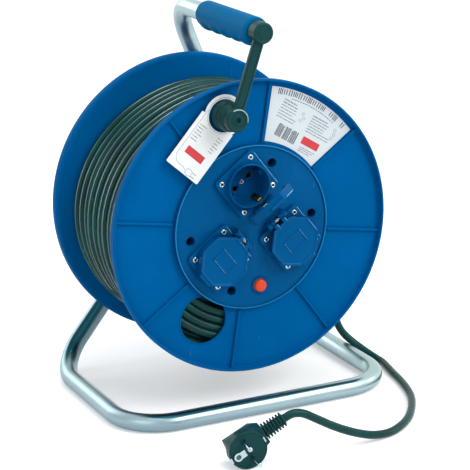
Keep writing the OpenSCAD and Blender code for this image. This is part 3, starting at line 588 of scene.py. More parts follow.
def zinc_tube(colour):
    """Bright zinc plating: drawing lines along the tube, cloudy patches and a faint tint, with painted dark
    reflection bands and painted shade on the undersides and the left foot.
    """
    finish, tree, shader = bare_material("zinc_plating", Metallic=1.0)
    run = node(tree, "ShaderNodeUVMap", uv_map="Run").outputs["UV"]
    lines = noise(tree, stretched(tree, run, (7.0, 60.0, 1.0)), 3.0, 4.0)
    place = object_place(tree)
    clouds = noise(tree, place, 26.0, 4.0)
    tint = spread(tree, noise(tree, place, 9.0, 2.0), 0.4, 0.65)
    ragged = spread(tree, lines, 0.2, 0.8, -0.25, 0.25)
    # painted reflection: dark bands where the tube would mirror something dark, roughened by the drawing
    # lines
    painted_light = math_node(tree, "ADD", attribute(tree, "PaintedReflection"), ragged)
    base = mixed(tree, tint, colour, plain(178, 204, 204))
    for share, shade in (
        (spread(tree, clouds, 0.5, 0.85, 0.0, 0.5), plain(150, 168, 172)),
        # painted shade on the undersides and the left foot
        (spread(tree, attribute(tree, "PaintedShade"), 0.0, 0.9, 0.0, 0.85), plain(112, 136, 146)),
        # the painted reflection's dark teal
        (spread(tree, painted_light, 0.15, 0.7, 0.0, 0.97), plain(2, 58, 68)),
    ):
        base = mixed(tree, share, base, shade)
    rough = spread(tree, lines, 0.25, 0.75, 0.22, 0.36)
    surface(tree, shader, base, math_node(tree, "MULTIPLY_ADD", clouds, 0.1, rough), lines, 0.06)
    return finish


def sheath(name, colour, pale):
    """Rubber cable sheath: fine grain, faint bloom and dust, and a painted highlight line along each turn."""
    tint = (0.5, 0.9, 0.85, 1)
    finish, tree, shader = bare_material(name, IOR=1.5, Specular_IOR_Level=0.2, Specular_Tint=tint)
    grain = placed_group(tree, "Moulded grain", Scale=1600.0, Depth=0.6, Gloss_low=0.2, Gloss_high=0.34)
    scuffs = placed_group(tree, "Handling marks", Amount=0.35, Specks=0.45)
    place = object_place(tree)
    base = mixed(tree, spread(tree, noise(tree, place, 22.0), 0.35, 0.7), colour, plain(8, 66, 62))
    base = mixed(tree, scuffs.outputs["Mask"], base, pale)
    # painted highlight: a pale line along each turn's shoulder, stronger in some patches
    line = spread(tree, math_node(tree, "ABSOLUTE", attribute(tree, "Round")), 1.0, 5.0, 1.0, 0.0)
    painted_highlight = math_node(tree, "MULTIPLY", line, attribute(tree, "PaintedHighlight"))
    painted_highlight = math_node(tree, "MULTIPLY", painted_highlight, spread(tree, noise(tree, place, 60.0, 2.0), 0.3, 0.6, 0.7, 1.0))
    base = mixed(tree, painted_highlight, base, plain(214, 240, 234))
    surface(tree, shader, base, grain.outputs["Roughness"], grain.outputs["Height"], 0.25)
    return finish


def card_finish(name, low, high):
    """Coated card or film with a faint cloudy tone."""
    finish, tree, shader = bare_material(name, IOR=1.45, Specular_IOR_Level=0.2)
    grain = placed_group(tree, "Moulded grain", Scale=500.0, Depth=0.4, Gloss_low=0.4, Gloss_high=0.5)
    base = mixed(tree, grain.outputs["Tone"], low, high)
    surface(tree, shader, base, grain.outputs["Roughness"], grain.outputs["Height"], 0.05, 0.0001)
    return finish


def ink_finish(name, low, high):
    """Printed ink with the card's grain showing through."""
    finish, tree, shader = bare_material(name, IOR=1.45, Specular_IOR_Level=0.2)
    speck = spread(tree, noise(tree, object_place(tree), 1800.0, 2.0), 0.3, 0.7)
    surface(tree, shader, mixed(tree, speck, low, high), spread(tree, speck, 0.0, 1.0, 0.45, 0.6))
    return finish


class REEL_OT_finishes(bpy.types.Operator):
    """Make the materials of plastic, rubber, metal and card"""

    bl_idname = "reel.finishes"
    bl_label = "Finishes"

    def execute(self, context):
        colours = context.scene.reel_colours
        GROUPS["Moulded grain"] = moulded_grain()
        GROUPS["Handling marks"] = handling_marks()
        drum, black, cable = tuple(colours.drum), tuple(colours.black), tuple(colours.cable)
        pale_blue = plain(92, 150, 196)
        blue_gleam = (0.04, 0.5, 0.9)
        grey = plain(120, 132, 132)
        FINISHES.update(
            drum=plastic("drum_plastic", drum, pale_blue, 0.34, 0.46, shine=0.015, tint=blue_gleam),
            panel=plastic(
                "panel_plastic", tuple(c * 0.75 for c in drum), pale_blue, 0.16, 0.28, bump=0.08, shine=0.2,
                tint=blue_gleam,
            ),
            # a pale plastic painted on edges as a painted highlight
            edge=plastic("painted_edge_highlight", plain(150, 222, 240), plain(214, 240, 250), 0.2, 0.3, shine=0.5),
            # a lighter blue painted on the panel's lip as a painted highlight
            rim=plastic("painted_rim_highlight", plain(20, 128, 180), plain(120, 190, 226), 0.2, 0.3, shine=0.3),
            grip=plastic(
                "grip_plastic", tuple(colours.grip), plain(96, 160, 190), 0.4, 0.52, 1700.0, 0.8, 0.4, 0.25,
                shine=0.02, tint=blue_gleam,
            ),
            black=plastic("black_plastic", black, grey, 0.3, 0.42, 1200.0, 0.6, 0.4, 0.16),
            # a pale grey painted on the eye's rim as a painted highlight
            grey=plastic("painted_eye_highlight", plain(150, 176, 172), plain(200, 214, 210), 0.25, 0.35),
            plug=plastic("plug_rubber", black, grey, 0.32, 0.46, 1500.0, 0.7, 0.4, 0.2),
            red=plastic(
                "red_plastic", tuple(colours.button), plain(250, 170, 150), 0.28, 0.36, 900.0, 0.3, 0.3, 0.05,
            ),
            ivory=plastic("ivory_plastic", plain(222, 216, 196), plain(240, 238, 228), 0.35, 0.45),
            cable=sheath("cable_sheath", cable, plain(126, 140, 140)),
            zinc=zinc_tube(tuple(colours.steel)),
            steel=metal("bright_steel", plain(196, 202, 204), plain(150, 156, 160), 0.2, 0.34),
            nickel=metal("nickel_plate", plain(196, 212, 218), plain(140, 158, 166), 0.12, 0.24, scale=900.0),
            brass=metal("brass_contact", plain(214, 180, 108), plain(170, 134, 72), 0.2, 0.36),
            card=card_finish("coated_card", plain(218, 222, 222), plain(230, 233, 233)),
            film=card_finish("label_film", plain(198, 206, 210), plain(208, 215, 219)),
            ink=ink_finish("grey_ink", plain(48, 56, 62), plain(78, 86, 92)),
            faint_ink=ink_finish("faint_ink", plain(96, 106, 114), plain(134, 142, 148)),
            red_ink=ink_finish("red_ink", plain(190, 50, 56), plain(206, 76, 80)),
        )
        for name, shade in (("brown", (122, 74, 44)), ("blue", (40, 96, 176)), ("yellow", (176, 190, 40))):
            FINISHES[name] = plastic("wire_" + name, plain(*shade), grey, 0.35, 0.45)
        return {"FINISHED"}


# ---------------------------------------------------------------- camera, light and floor


FOCAL_PIXELS, PICTURE_PIXELS, SENSOR_MM = 2000, 470, 36


class REEL_OT_stage(bpy.types.Operator):
    """Set up the camera, the soft lamps and the pale floor"""

    bl_idname = "reel.stage"
    bl_label = "Studio"

    def execute(self, context):
        self.aim_camera(context)
        self.hang_lamps()
        self.fill_world(context)
        self.lay_floor()
        return {"FINISHED"}

    def aim_camera(self, context):
        around, above, roll = (math.radians(a) for a in (-25.4, 16.4, -1.2))
        flat = math.cos(above)
        back = Vector((math.sin(around) * flat, -math.cos(around) * flat, math.sin(above)))
        level = Vector((0, 0, 1)).cross(back).normalized()
        plumb = back.cross(level)
        right = level * math.cos(roll) + plumb * math.sin(roll)
        up = plumb * math.cos(roll) - level * math.sin(roll)
        spot = Vector(SPIN) + 0.01735 * right - 0.02652 * up + 1.992 * back
        lens = bpy.data.cameras.new("reel_camera")
        lens.sensor_width = SENSOR_MM
        lens.lens = FOCAL_PIXELS / PICTURE_PIXELS * SENSOR_MM
        lens.clip_end = 50
        camera = bpy.data.objects.new("reel_camera", lens)
        context.collection.objects.link(camera)
        camera.matrix_world = Matrix.Translation(spot) @ Matrix((right, up, back)).transposed().to_4x4()
        context.scene.camera = camera

    def hang_lamps(self):
        for name, spot, size, watts in (
            ("key", (1.1, -1.9, 1.85), 1.3, 41.0),
            ("side", (2.4, -0.6, 0.9), 0.4, 7.0),
            ("fill", (-1.9, -1.3, 1.1), 1.6, 9.0),
            ("top", (0.1, -0.4, 2.6), 1.5, 27.0),
            ("back", (-1.0, 2.0, 1.2), 1.5, 14.0),
        ):
            lamp = bpy.data.lights.new(name, "AREA")
            lamp.energy, lamp.size = watts, size
            hung = bpy.data.objects.new(name, lamp)
            bpy.context.collection.objects.link(hung)
            hung.location = spot
            hung.rotation_euler = (Vector((0, 0, 0.18)) - Vector(spot)).to_track_quat("-Z", "Y").to_euler()

    def fill_world(self, context):
        context.scene.view_settings.view_transform = "Standard"
        world = bpy.data.worlds.new("studio")
        context.scene.world = world
        world.use_nodes = True
        tree = world.node_tree
        tree.nodes.clear()
        seen = self.seen_rays(tree)
        light = node(tree, "ShaderNodeBackground")
        put(tree, light.inputs["Color"], (0.93, 0.97, 1.0))
        put(tree, light.inputs["Strength"], 0.5)
        white = node(tree, "ShaderNodeBackground")
        put(tree, white.inputs["Color"], (1, 1, 1))
        mix = node(tree, "ShaderNodeMixShader")
        for socket, value in zip(mix.inputs, (seen, light.outputs[0], white.outputs[0])):
            put(tree, socket, value)
        put(tree, node(tree, "ShaderNodeOutputWorld").inputs[0], mix.outputs[0])

    def seen_rays(self, tree):
        path = node(tree, "ShaderNodeLightPath")
        seen = math_node(tree, "MAXIMUM", path.outputs["Is Camera Ray"], path.outputs["Is Glossy Ray"])
        return math_node(tree, "MAXIMUM", seen, path.outputs["Is Transmission Ray"])

    def lay_floor(self):
        nothing_selected()
        bpy.ops.mesh.primitive_circle_add(vertices=96, radius=6, fill_type="NGON")
        floor = bpy.context.object
        floor.name = "floor"
        finish, tree, shader = bare_material("pale_floor", Roughness=0.85, IOR=1.3)
        put(tree, shader.inputs["Base Color"], (0.9, 0.9, 0.9))
        put(tree, shader.inputs["Emission Color"], (1, 1, 1))
        put(tree, shader.inputs["Emission Strength"], math_node(tree, "MULTIPLY", self.seen_rays(tree), 0.34))
        floor.data.materials.append(finish)


# ---------------------------------------------------------------- plug and free cord

CORD_LIE = (
    (135.4, 5, 162), (134.3, 5, 138), (133.4, 5, 112), (132.8, 5, 88),
    (133, 4.5, 66), (134.2, 4, 49), (137.5, 3, 36), (143.5, 1, 25.8),
    (151, -4, 17.6), (158.5, -12.5, 10.4), (163.8, -24.5, 5.8), (165.6, -40, 4.2),
    (162.6, -56, 4.2), (159, -73, 4.2), (155.9, -90, 4.2), (152, -107, 4.2),
    (147.2, -124, 4.2), (141, -140.5, 4.2), (133, -155.5, 4.2), (122, -172.5, 4.2),
    (109, -188.5, 4.2), (93.5, -202, 4.2), (76, -211.5, 4.3), (57, -216, 6.8),
    (40, -217.5, 12), (24, -217.8, 18.8), (10, -217.3, 26), (1, -216.6, 31.3),
    (-7.5, -215.8, 36.3), (-14.7, -214.7, 40.5), (-21, -213.8, 42.7), (-28, -212.8, 42.9),
)
CORD_R = 135.9
RELIEF_AT = 21.5
RELIEF_END = 44.0


def cord_points():
    """The free cord's route in metres, from the winding to the mouth of the strain relief."""
    leave = [(x, 5, SPIN[2] / MM + y) for x, y in (polar(CORD_R, a) for a in range(40, 3, -12))]
    route = [Vector(p) * MM + Vector((0, SPIN[1], 0)) for p in (*leave, *CORD_LIE)]
    mouth = RELIEF_END - 1.5
    return route + [PLUG @ Vector((x * MM, 0, 0)) for x in (mouth + 3.5, mouth)]


class REEL_OT_plug(bpy.types.Operator):
    """Model the angled plug with its pins, earth contacts and strain relief"""

    bl_idname = "reel.plug"
    bl_label = "Plug"

    def execute(self, context):
        body = self.body()
        wear(settle(body, PLUG), "frame", "plug", "black_plastic", "plug_body")
        relief = self.relief(context.scene.reel_sizes.relief_ribs)
        wear(settle(relief, PLUG), "frame", "plug", "black_plastic", "plug_relief")
        pin = turned(
            "pin", ((0, 5), (2, 5), (2, 13.2), (2.4, 13.2), (2.4, 30.4), (2.1, 31.4), (1.3, 31.9), (0, 32)),
            32, 0.15,
        )
        pins = joined("pins", copied(pin, "pin_left", shift(0, 9.5, 0)), settle(pin, shift(0, -9.5, 0)))
        wear(settle(pins, PLUG), "frame", "nickel", "nickel", "plug_pins")
        coat("nickel", "plug_earth")
        return {"FINISHED"}

    def body(self):
        face = turned(
            "plug_face",
            ((0, 1.5), (17.4, 1.5), (18.5, 3.2), (18.5, 12.2), (17.9, 13), (17.2, 13), (16.9, 12.4),
             (0, 12.4)),
            96, 0.3,
        )
        back = block("plug_back", (-14, -10.5, -13), (14, 10.5, 4), 0)
        neck = block("plug_neck", (16, -8.2, -7.6), (21.6, 8.2, 7.6), 0)
        rim = rod("plug_rim", 16.8, 1.2, 3.4, steps=40)
        shell = joined("plug_shell", back, neck, rim)
        edit(shell)
        bpy.ops.mesh.convex_hull()
        done()
        softened(shell, 2.6, 4, angle=20)
        smooth(shell, 50)
        ridge = block("ridge", (-9, -0.55, -6), (-7.6, 0.55, 2), 0.3)
        ridges = []
        for side in (-1, 1):
            for k in range(4):
                place = shift(k * 4.2, side * 11.6) @ turn(-side * 16, "X")
                ridges.append(copied(ridge, "ridge_copy", place))
        bpy.data.objects.remove(ridge)
        for y in (-9.5, 9.5):
            cut(face, rod("pin_hole", 2.04, 4, 14, (0, y)))
        for x in (-18.5, 18.5):
            cut(face, block("earth_slot", (x - 1.7, -3.25, 4), (x + 1.7, 3.25, 14), 0))
        cut(face, rod("earth_hole", 3.02, 4, 14, (-11, 0)))
        return joined("plug_shell", face, shell, *ridges)

    def relief(self, ribs):
        outline = [(0, RELIEF_AT - 0.6)]
        pitch = (RELIEF_END - RELIEF_AT - 0.4) / ribs
        for k in range(ribs):
            low, reach = RELIEF_AT + k * pitch, 8.3 - 1.0 * k / (ribs - 1)
            outline += [(5.3, low + 0.34 * pitch), (reach, low + 0.42 * pitch),
                        (reach, low + 0.86 * pitch), (5.3, low + 0.94 * pitch)]
        outline += [(5.0, RELIEF_END), (4.3, RELIEF_END), (4.3, RELIEF_END - 2), (0, RELIEF_END - 2)]
        relief = turned("strain_relief", outline, 48, 0.25)
        # the ribs are notched in turn on either side
        for k in range(ribs):
            low, high = RELIEF_AT + (k + 0.3) * pitch, RELIEF_AT + (k + 0.98) * pitch
            for side in (-1, 1):
                x, y = (side * 7.2, 0) if k % 2 else (0, side * 7.2)
                cut(relief, block("notch", (x - 1.6, y - 1.6, low), (x + 1.6, y + 1.6, high), 0))
        return settle(relief, turn(90, "Y"))


class REEL_OT_free_cord(bpy.types.Operator):
    """Lay the free end of the cable from the drum to the plug"""

    bl_idname = "reel.free_cord"
    bl_label = "Free Cord"

    def execute(self, context):
        points = cord_points()
        lead, knots = round_curve("free_lead", "BEZIER", len(points), context.scene.reel_sizes.cable / 2, 4)
        lead.data.resolution_u = 6
        for k, (knot, point) in enumerate(zip(knots, points)):
            last, next_one = points[max(k - 1, 0)], points[min(k + 1, len(points) - 1)]
            ahead = (next_one - last).normalized()
            before, after = (point - last).length, (next_one - point).length
            knot.handle_left_type = knot.handle_right_type = "FREE"
            knot.co = point
            knot.handle_left = point - ahead * (before or after) / 3
            knot.handle_right = point + ahead * (after or before) / 3
        lead.data.materials.append(FINISHES["cable"])
        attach(lead, "frame")
        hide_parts("free_cord")
        return {"FINISHED"}


# ---------------------------------------------------------------- tube frame and handle


FOOT_X, REAR_Z, FOOT_Z = 141.0, -93.0, -174.0
TUBE_R = 9.0
MEET = HANDLE_H / (HANDLE_H - 2 * FOOT_Z)


def frame_route():
    """Points along the frame tube's axis: handle, rear bend, right leg, feet, left leg."""
    corners = [
        ((0, HANDLE_H, 106.4), 0), ((0, HANDLE_H, REAR_Z), 38), ((FOOT_X, FOOT_Z, REAR_Z), 38),
        ((FOOT_X, FOOT_Z, 100), 48), ((-FOOT_X, FOOT_Z, 100), 48), ((-FOOT_X, FOOT_Z, REAR_Z), 38),
        ((FOOT_X * MEET * 1.087, -FOOT_Z * MEET * 1.087, REAR_Z), 0),
    ]
    route = []
    for k, (corner, bend) in enumerate(corners):
        corner = Vector(corner)
        if bend == 0:
            route.append(corner)
            continue
        incoming = (corner - Vector(corners[k - 1][0])).normalized()
        outgoing = (Vector(corners[k + 1][0]) - corner).normalized()
        angle = incoming.angle(outgoing)
        inward = (outgoing - outgoing.dot(incoming) * incoming).normalized()
        start = corner - incoming * bend * math.tan(angle / 2)
        for step in range(17):
            a = angle * step / 16
            route.append(start + incoming * bend * math.sin(a) + inward * bend * (1 - math.cos(a)))
    return [DRUM @ (point * MM) for point in route]


def within(value):
    """A share held between 0 and 1."""
    return min(1.0, max(0.0, value))


class REEL_OT_tube_frame(bpy.types.Operator):
    """Bend the steel tube into the handle, the legs and the feet"""

    bl_idname = "reel.tube_frame"
    bl_label = "Tube Frame"

    def execute(self, context):
        tube = run_along("bent_tube", frame_route(), TUBE_R * MM, rings=14)
        tube.data.uv_layers[0].name = "Run"
        self.painted_light(tube)
        weld = self.weld()
        wear(tube, "frame", "zinc", "zinc_steel", "frame_tube")
        wear(weld, "frame", "steel", "zinc_steel")
        coat("steel", "axle_spacer", "axle_bolt", "bearing_sleeve", "axle_washer", "axle_nut")
        return {"FINISHED"}

    def painted_light(self, tube):
        """Stores where light is painted on the tube: dark reflection bands on the front of the left leg and
        the top of the front tube, and painted shade on the undersides and the left foot.
        """
        dark = tube.data.attributes.new("PaintedReflection", "FLOAT", "POINT")
        under = tube.data.attributes.new("PaintedShade", "FLOAT", "POINT")
        leg, top, bend = Vector((-0.53, -0.73, 0.43)), Vector((0, -0.5, 0.866)), Vector((-0.1, -0.95, 0.3))
        for vertex, first, second in zip(tube.data.vertices, dark.data, under.data):
            spot = DRUM.inverted() @ vertex.co / MM
            rear = within((-45 - spot.z) / 30) if spot.x < 60 and spot.y < 60 else 0.0
            front = within((spot.z - 60) / 30)
            wide = 9 + 12 * within((-20 - spot.x) / 90)
            # painted reflection bands: the front of the left leg near the rear, and the top of the front tube
            first.value = rear * math.exp(-(math.degrees(vertex.normal.angle(leg)) / 38) ** 4)
            first.value += front * math.exp(-(math.degrees(vertex.normal.angle(top)) / wide) ** 4)
            # painted shade: the undersides, and the left foot most where it faces the front
            foot = within((-60 - spot.x) / 50)
            near = within((spot.z + 93) / 150)
            facing = 0.6 + 0.4 * max(0.0, vertex.normal.dot(bend))
            second.value = max(0.0, 0.3 - vertex.normal.z) + foot * (0.8 - 0.2 * near) * facing

    def weld(self):
        """A bead round the left leg's end, where it runs into the right leg."""
        leg = Vector((FOOT_X, -FOOT_Z, 0)).normalized()
        side = Vector((0, 0, 1))
        across = side.cross(leg)
        meet = Vector((FOOT_X * MEET, -FOOT_Z * MEET, REAR_Z))
        right_leg = Vector((FOOT_X, FOOT_Z - HANDLE_H, 0)).normalized()
        beads = []
        for k in range(30):
            a = math.tau * k / 30
            spoke = across * math.cos(a) + side * math.sin(a)
            # back from the right leg's surface along the left leg
            offset = TUBE_R * spoke
            gap = math.sqrt(max(0.0, TUBE_R ** 2 - offset.z ** 2))
            normal = leg - leg.dot(right_leg) * right_leg
            reach = (gap + offset.dot(normal.normalized())) / normal.length
            beads.append(DRUM @ ((meet - leg * reach + offset * 1.02) * MM))
        return run_along("weld_bead", beads + beads[:2], BEAD_R * MM)


class REEL_OT_handle(bpy.types.Operator):
    """Model the grip with its finger lobes and the lock arm"""

    bl_idname = "reel.handle"
    bl_label = "Handle and Lock Arm"

    def execute(self, context):
        grip = self.grip(context.scene.reel_sizes.finger / MM)
        wear(settle(grip, GRIP), "frame", "grip", "blue_plastic", "handle_grip")
        arm = wear(settle(self.arm(), GRIP), "lock_arm", "black", "black_plastic", "lock_arm")
        # painted highlight on the upper right arc of the eye
        give_painted_highlight(arm, "grey", eye_edge)
        coat("black", "handle_plug")
        return {"FINISHED"}

    def grip(self, finger):
        back, fingers = -15.0, 5
        pitch = (95 - back) / fingers
        bar = turned(
            "grip",
            ((0, back), (10.5, back), (12, back + 0.7), (13, back + 2.5), (13, 91.5), (12.4, 93.6), (11, 95),
             (0, 95)),
            64,
        )
        outline = [(0, back + 0.6), (9.8, back + 0.6)]
        for k in range(fingers):
            for step in range(9):
                if k and step == 0:
                    continue
                swell = max(0.0, math.sin(math.pi * step / 8)) ** 0.65
                outline.append((12.4 - finger * (1 - swell), back + 0.6 + (pitch - 0.24) * (k + step / 8)))
        outline.append((0, outline[-1][1]))
        lobes = settle(turned("lobes", outline, 64), shift(0, -finger, 0))
        grip = joined("grip", bar, lobes)
        modified(grip, "REMESH", mode="VOXEL", voxel_size=0.0009, use_smooth_shade=True)
        modified(grip, "CORRECTIVE_SMOOTH", iterations=8, smooth_type="SIMPLE", factor=0.5)
        cut(grip, rod("grip_bore", 9.03, -60, 110, steps=64))
        for low in (back, 91.8):
            ring = ((9.1, low + 0.6), (12.4, low + 0.6), (12.4, low + 2.6), (9.1, low + 2.6))
            grip = joined("grip", grip, turned("collar", ring, 64, 0.5, hollow=True))
        return smooth(grip, 40)

    def arm(self):
        cap = turned(
            "cap",
            ((0, 109.8), (3.56, 109.8), (3.56, 106.9), (9.06, 106.9), (9.06, 95.5), (10.25, 95.5),
             (10.25, 109), (9.7, 110.3), (8.6, 111), (7.2, 111), (6.8, 110.5), (6.0, 110.5), (5.6, 111),
             (0, 111)),
            96, 0.25,
        )
        reach = Vector((KNOB_XY[0], KNOB_XY[1] - HANDLE_H, 0))
        swing = math.degrees(math.atan2(reach.y, reach.x))
        bar = block("bar", (5, -5.5, 101.1), (reach.length - 4, 5.5, 106.8), 1.7, 4)
        end = reach.length - 9
        rails = [block("rail", (9, y - 0.7, 106), (end, y + 0.7, 107.5), 0.6, 3) for y in (-3.4, 3.4)]
        for piece in (bar, *rails):
            settle(piece, turn(swing))
        eye = turned(
            "eye",
            ((0, 106.4), (2.3, 106.4), (2.6, 106.7), (2.6, 108.6), (3.1, 109.3), (4.6, 109.3), (5.2, 108.3),
             (7.9, 108.3), (8.5, 109.3), (9.6, 109.6), (10.6, 109.2), (11.5, 107.8), (11.5, 101), (0, 101)),
            96, 0.3,
        )
        settle(eye, Matrix.Translation(reach * MM))
        return joined("lock_bar", cap, bar, *rails, eye)


# ---------------------------------------------------------------- drum


class REEL_OT_flanges(bpy.types.Operator):
    """Turn both flanges with their rims, ribs and the viewing hole"""

    bl_idname = "reel.flanges"
    bl_label = "Flanges"

    def execute(self, context):
        # the holes are cut before the parts are joined, as a cut may drop a loose part
        front = self.flange("front_disc", CORE_IN)
        cut(front, rod("spindle_hole", 7.2, 60, 81, polar(KNOB_R, KNOB_TURN), steps=48))
        front = joined("front_disc", self.window(front), self.hub("hub_front", 0))
        boss = turned(
            "boss", ((4.16, 72.9), (4.16, 80.5), (10.3, 80.5), (10.9, 79.8), (11.1, 77), (11.6, 72.9)),
            64, hollow=True,
        )
        seat = turned("seat", ((4.16, 70), (4.16, 74), (7.25, 74), (7.25, 70)), 48, hollow=True)
        cut(seat, rod("pocket", 7.1, 69, 73.8, steps=48))
        boss = settle(joined("boss", boss, seat), turn(KNOB_TURN) @ shift(KNOB_R, 0))
        front = joined("front_disc", front, boss, *self.ribs())
        wear(settle(front, TURNED), "drum", "drum", "blue_plastic", "front_flange")

        rear = self.flange("rear_disc", 20)
        bearing = turned(
            "bearing",
            ((13.02, 24.5), (17, 24.5), (17, 70), (21, 71), (21, 74), (18, 80), (16.2, 80), (16.2, 78.2),
             (13.02, 78.2)), 64, 0.3, hollow=True,
        )
        rear = joined("rear_disc", rear, self.hub("hub_rear", 0.3), bearing, *self.ribs())
        # the rear half faces the other way
        settle(rear, TURNED @ turn(180, "Y"))
        wear(rear, "drum", "drum", "blue_plastic", "rear_flange")
        coat("ivory", "bearing_bush")
        return {"FINISHED"}

    def hub(self, name, low):
        outline = ((CORE_IN, low), (CORE_OUT, low), (CORE_OUT, CORE_HALF), (CORE_IN, CORE_HALF))
        return turned(name, outline, 128, hollow=True)

    def flange(self, name, hole):
        """A flange in profile: its flat, its rim outside and over the top, and its face."""
        outline = [(hole, 70), (141.6, 70), (143.6, 70.6), (144.7, 71.8), (145, 73.4), (145, 78.6)]
        outline += [(143.7 + 1.3 * math.cos(a), 78.7 + 1.3 * math.sin(a)) for a in (0.3, 0.7, 1.1, 1.5)]
        outline += [(143.1, 79.9), (142.7, 79.4), (142.6, 74.4), (142.3, 73.6), (141.7, FACE_Z)]
        return turned(name, outline + [(hole, FACE_Z)], 192, hollow=True)

    def ribs(self):
        rib = settle(block("rib", (83.5, -1.2, 72), (142.9, 1.2, 75.9), 0.6, 3), turn(-RIB_LAG))
        return [rib] + [copied(rib, "rib_%d" % k, turn(45 * k)) for k in range(1, 8)]

    def window(self, flange):
        at = polar(WINDOW_R, WINDOW_TURN)
        cut(flange, cut(rod("window", 24, 60, 80, at, steps=96), rod("keep", 80.5, 55, 85, steps=192)))
        # a thin lip round the hole
        outline = ((24, 72.8), (24, 73.5), (24.7, 73.7), (25.3, 73.4), (25.5, 72.8))
        lip = settle(turned("lip", outline, 96, hollow=True), shift(*at))
        cut(lip, rod("keep", 81.6, 55, 85, steps=192))
        return joined(flange.name, flange, lip)


# how far the wound turns are pulled in at most, and the direction in which they are
PULL, PULL_TURN = 12, 118


def laid(radius, around):
    """The radius of the wound turns: tight at the top, where their weight pulls them on, loose elsewhere."""
    return radius - PULL * max(0.0, math.cos(around - math.radians(PULL_TURN))) ** 2.3


def on_drum(radius, angle, z):
    """A place on the drum in metres, from millimetres and an angle in radians."""
    return TURNED @ (Vector((radius * math.cos(angle), radius * math.sin(angle), z)) * MM)


class REEL_OT_winding(bpy.types.Operator):
    """Wind the cable on the drum: outer turns, the layer under them and the side turns"""

    bl_idname = "reel.winding"
    bl_label = "Winding"
    # patches where the painted highlight on the outer turns is stronger: direction and spread in degrees, and
    # how much
    HIGHLIGHT_PATCHES = ((164, 17, 0.75), (109, 14, 1.3), (205, 24, 0.15))
    # points to a turn, and half the width that the turns take up
    RINGS, HALF = 72, 65.4

    def execute(self, context):
        sizes = context.scene.reel_sizes
        radius, slack = sizes.cable / 2, sizes.slack / MM
        outer = run_along("outer_turns", self.helix(127, sizes.turns, slack, 0), radius, rings=4)
        # painted highlight along the outer turns
        self.paint_highlight(outer, 20, 0.05, self.HIGHLIGHT_PATCHES)
        wear(outer, "drum", "cable", "cable_sheath", "cable_winding")
        under = run_along("under_turns", self.helix(120.6, sizes.turns, slack, math.pi), radius)
        sides = [
            run_along("side_turns", self.spiral(65.2, 84.6, sizes.layers - 1), radius, rings=3),
            run_along("side_back", self.spiral(57.6, 88.4, sizes.layers - 2), radius),
        ]
        # painted highlight lines on the side turns seen through the viewing hole
        self.paint_highlight(sides[0], 118, 0.16)
        sleeve = turned("sleeve", ((80.4, -69), (109.6, -69), (109.6, 54), (80.4, 54)), 96, hollow=True)
        core = joined("inner_turns", under, *sides, settle(sleeve, TURNED))
        wear(core, "drum", "cable", "cable_sheath", "cable_core")
        return {"FINISHED"}

    def helix(self, radius, turns, slack, lead):
        """Turns across the drum that lie unevenly beside one another, as cable wound by hand does."""
        points = []
        for k in range(self.RINGS * turns + 1):
            a = math.tau * k / self.RINGS
            n = k / (self.RINGS * turns) - 0.5
            free = min(1.0, 8 * min(n + 0.5, 0.5 - n))
            drift = 0.9 * math.sin(0.43 * a) + 0.6 * math.sin(0.77 * a + 1)
            r = laid(radius, a + lead) - 0.35 * free * (1 - math.sin(0.61 * a))
            points.append(on_drum(r, a + lead, 2 * self.HALF * n + slack * drift * free))
        return points

    def paint_highlight(self, turns, shoulder, least, patches=()):
        """Stores each turn's painted highlight line: the angle from its shoulder, and how strong the painted
        highlight is there.
        """
        away = turns.data.attributes.new("Round", "FLOAT", "POINT")
        painted_highlight = turns.data.attributes.new("PaintedHighlight", "FLOAT", "POINT")
        for vertex, first, second in zip(turns.data.vertices, away.data, painted_highlight.data):
            out = vertex.co - Vector(SPIN)
            out.y = 0
            out.normalize()
            first.value = math.degrees(math.atan2(-vertex.normal.y, vertex.normal.dot(out))) - shoulder
            around = math.degrees(math.atan2(out.z, out.x)) % 360
            second.value = least + sum(
                much * math.exp(-((around - middle) / wide) ** 2) for middle, wide, much in patches
            )

    def spiral(self, z, first, turns):
        """Turns that lie beside one another behind a flange, seen through its viewing hole."""
        points = []
        for k in range(self.RINGS * turns + 1):
            a = math.tau * k / self.RINGS
            r = first + 7.75 * a / math.tau + 0.35 * math.sin(2.3 * a)
            points.append(on_drum(r, a, z - 0.5 + 0.5 * math.sin(1.7 * a)))
        return points


# ---------------------------------------------------------------- socket panel


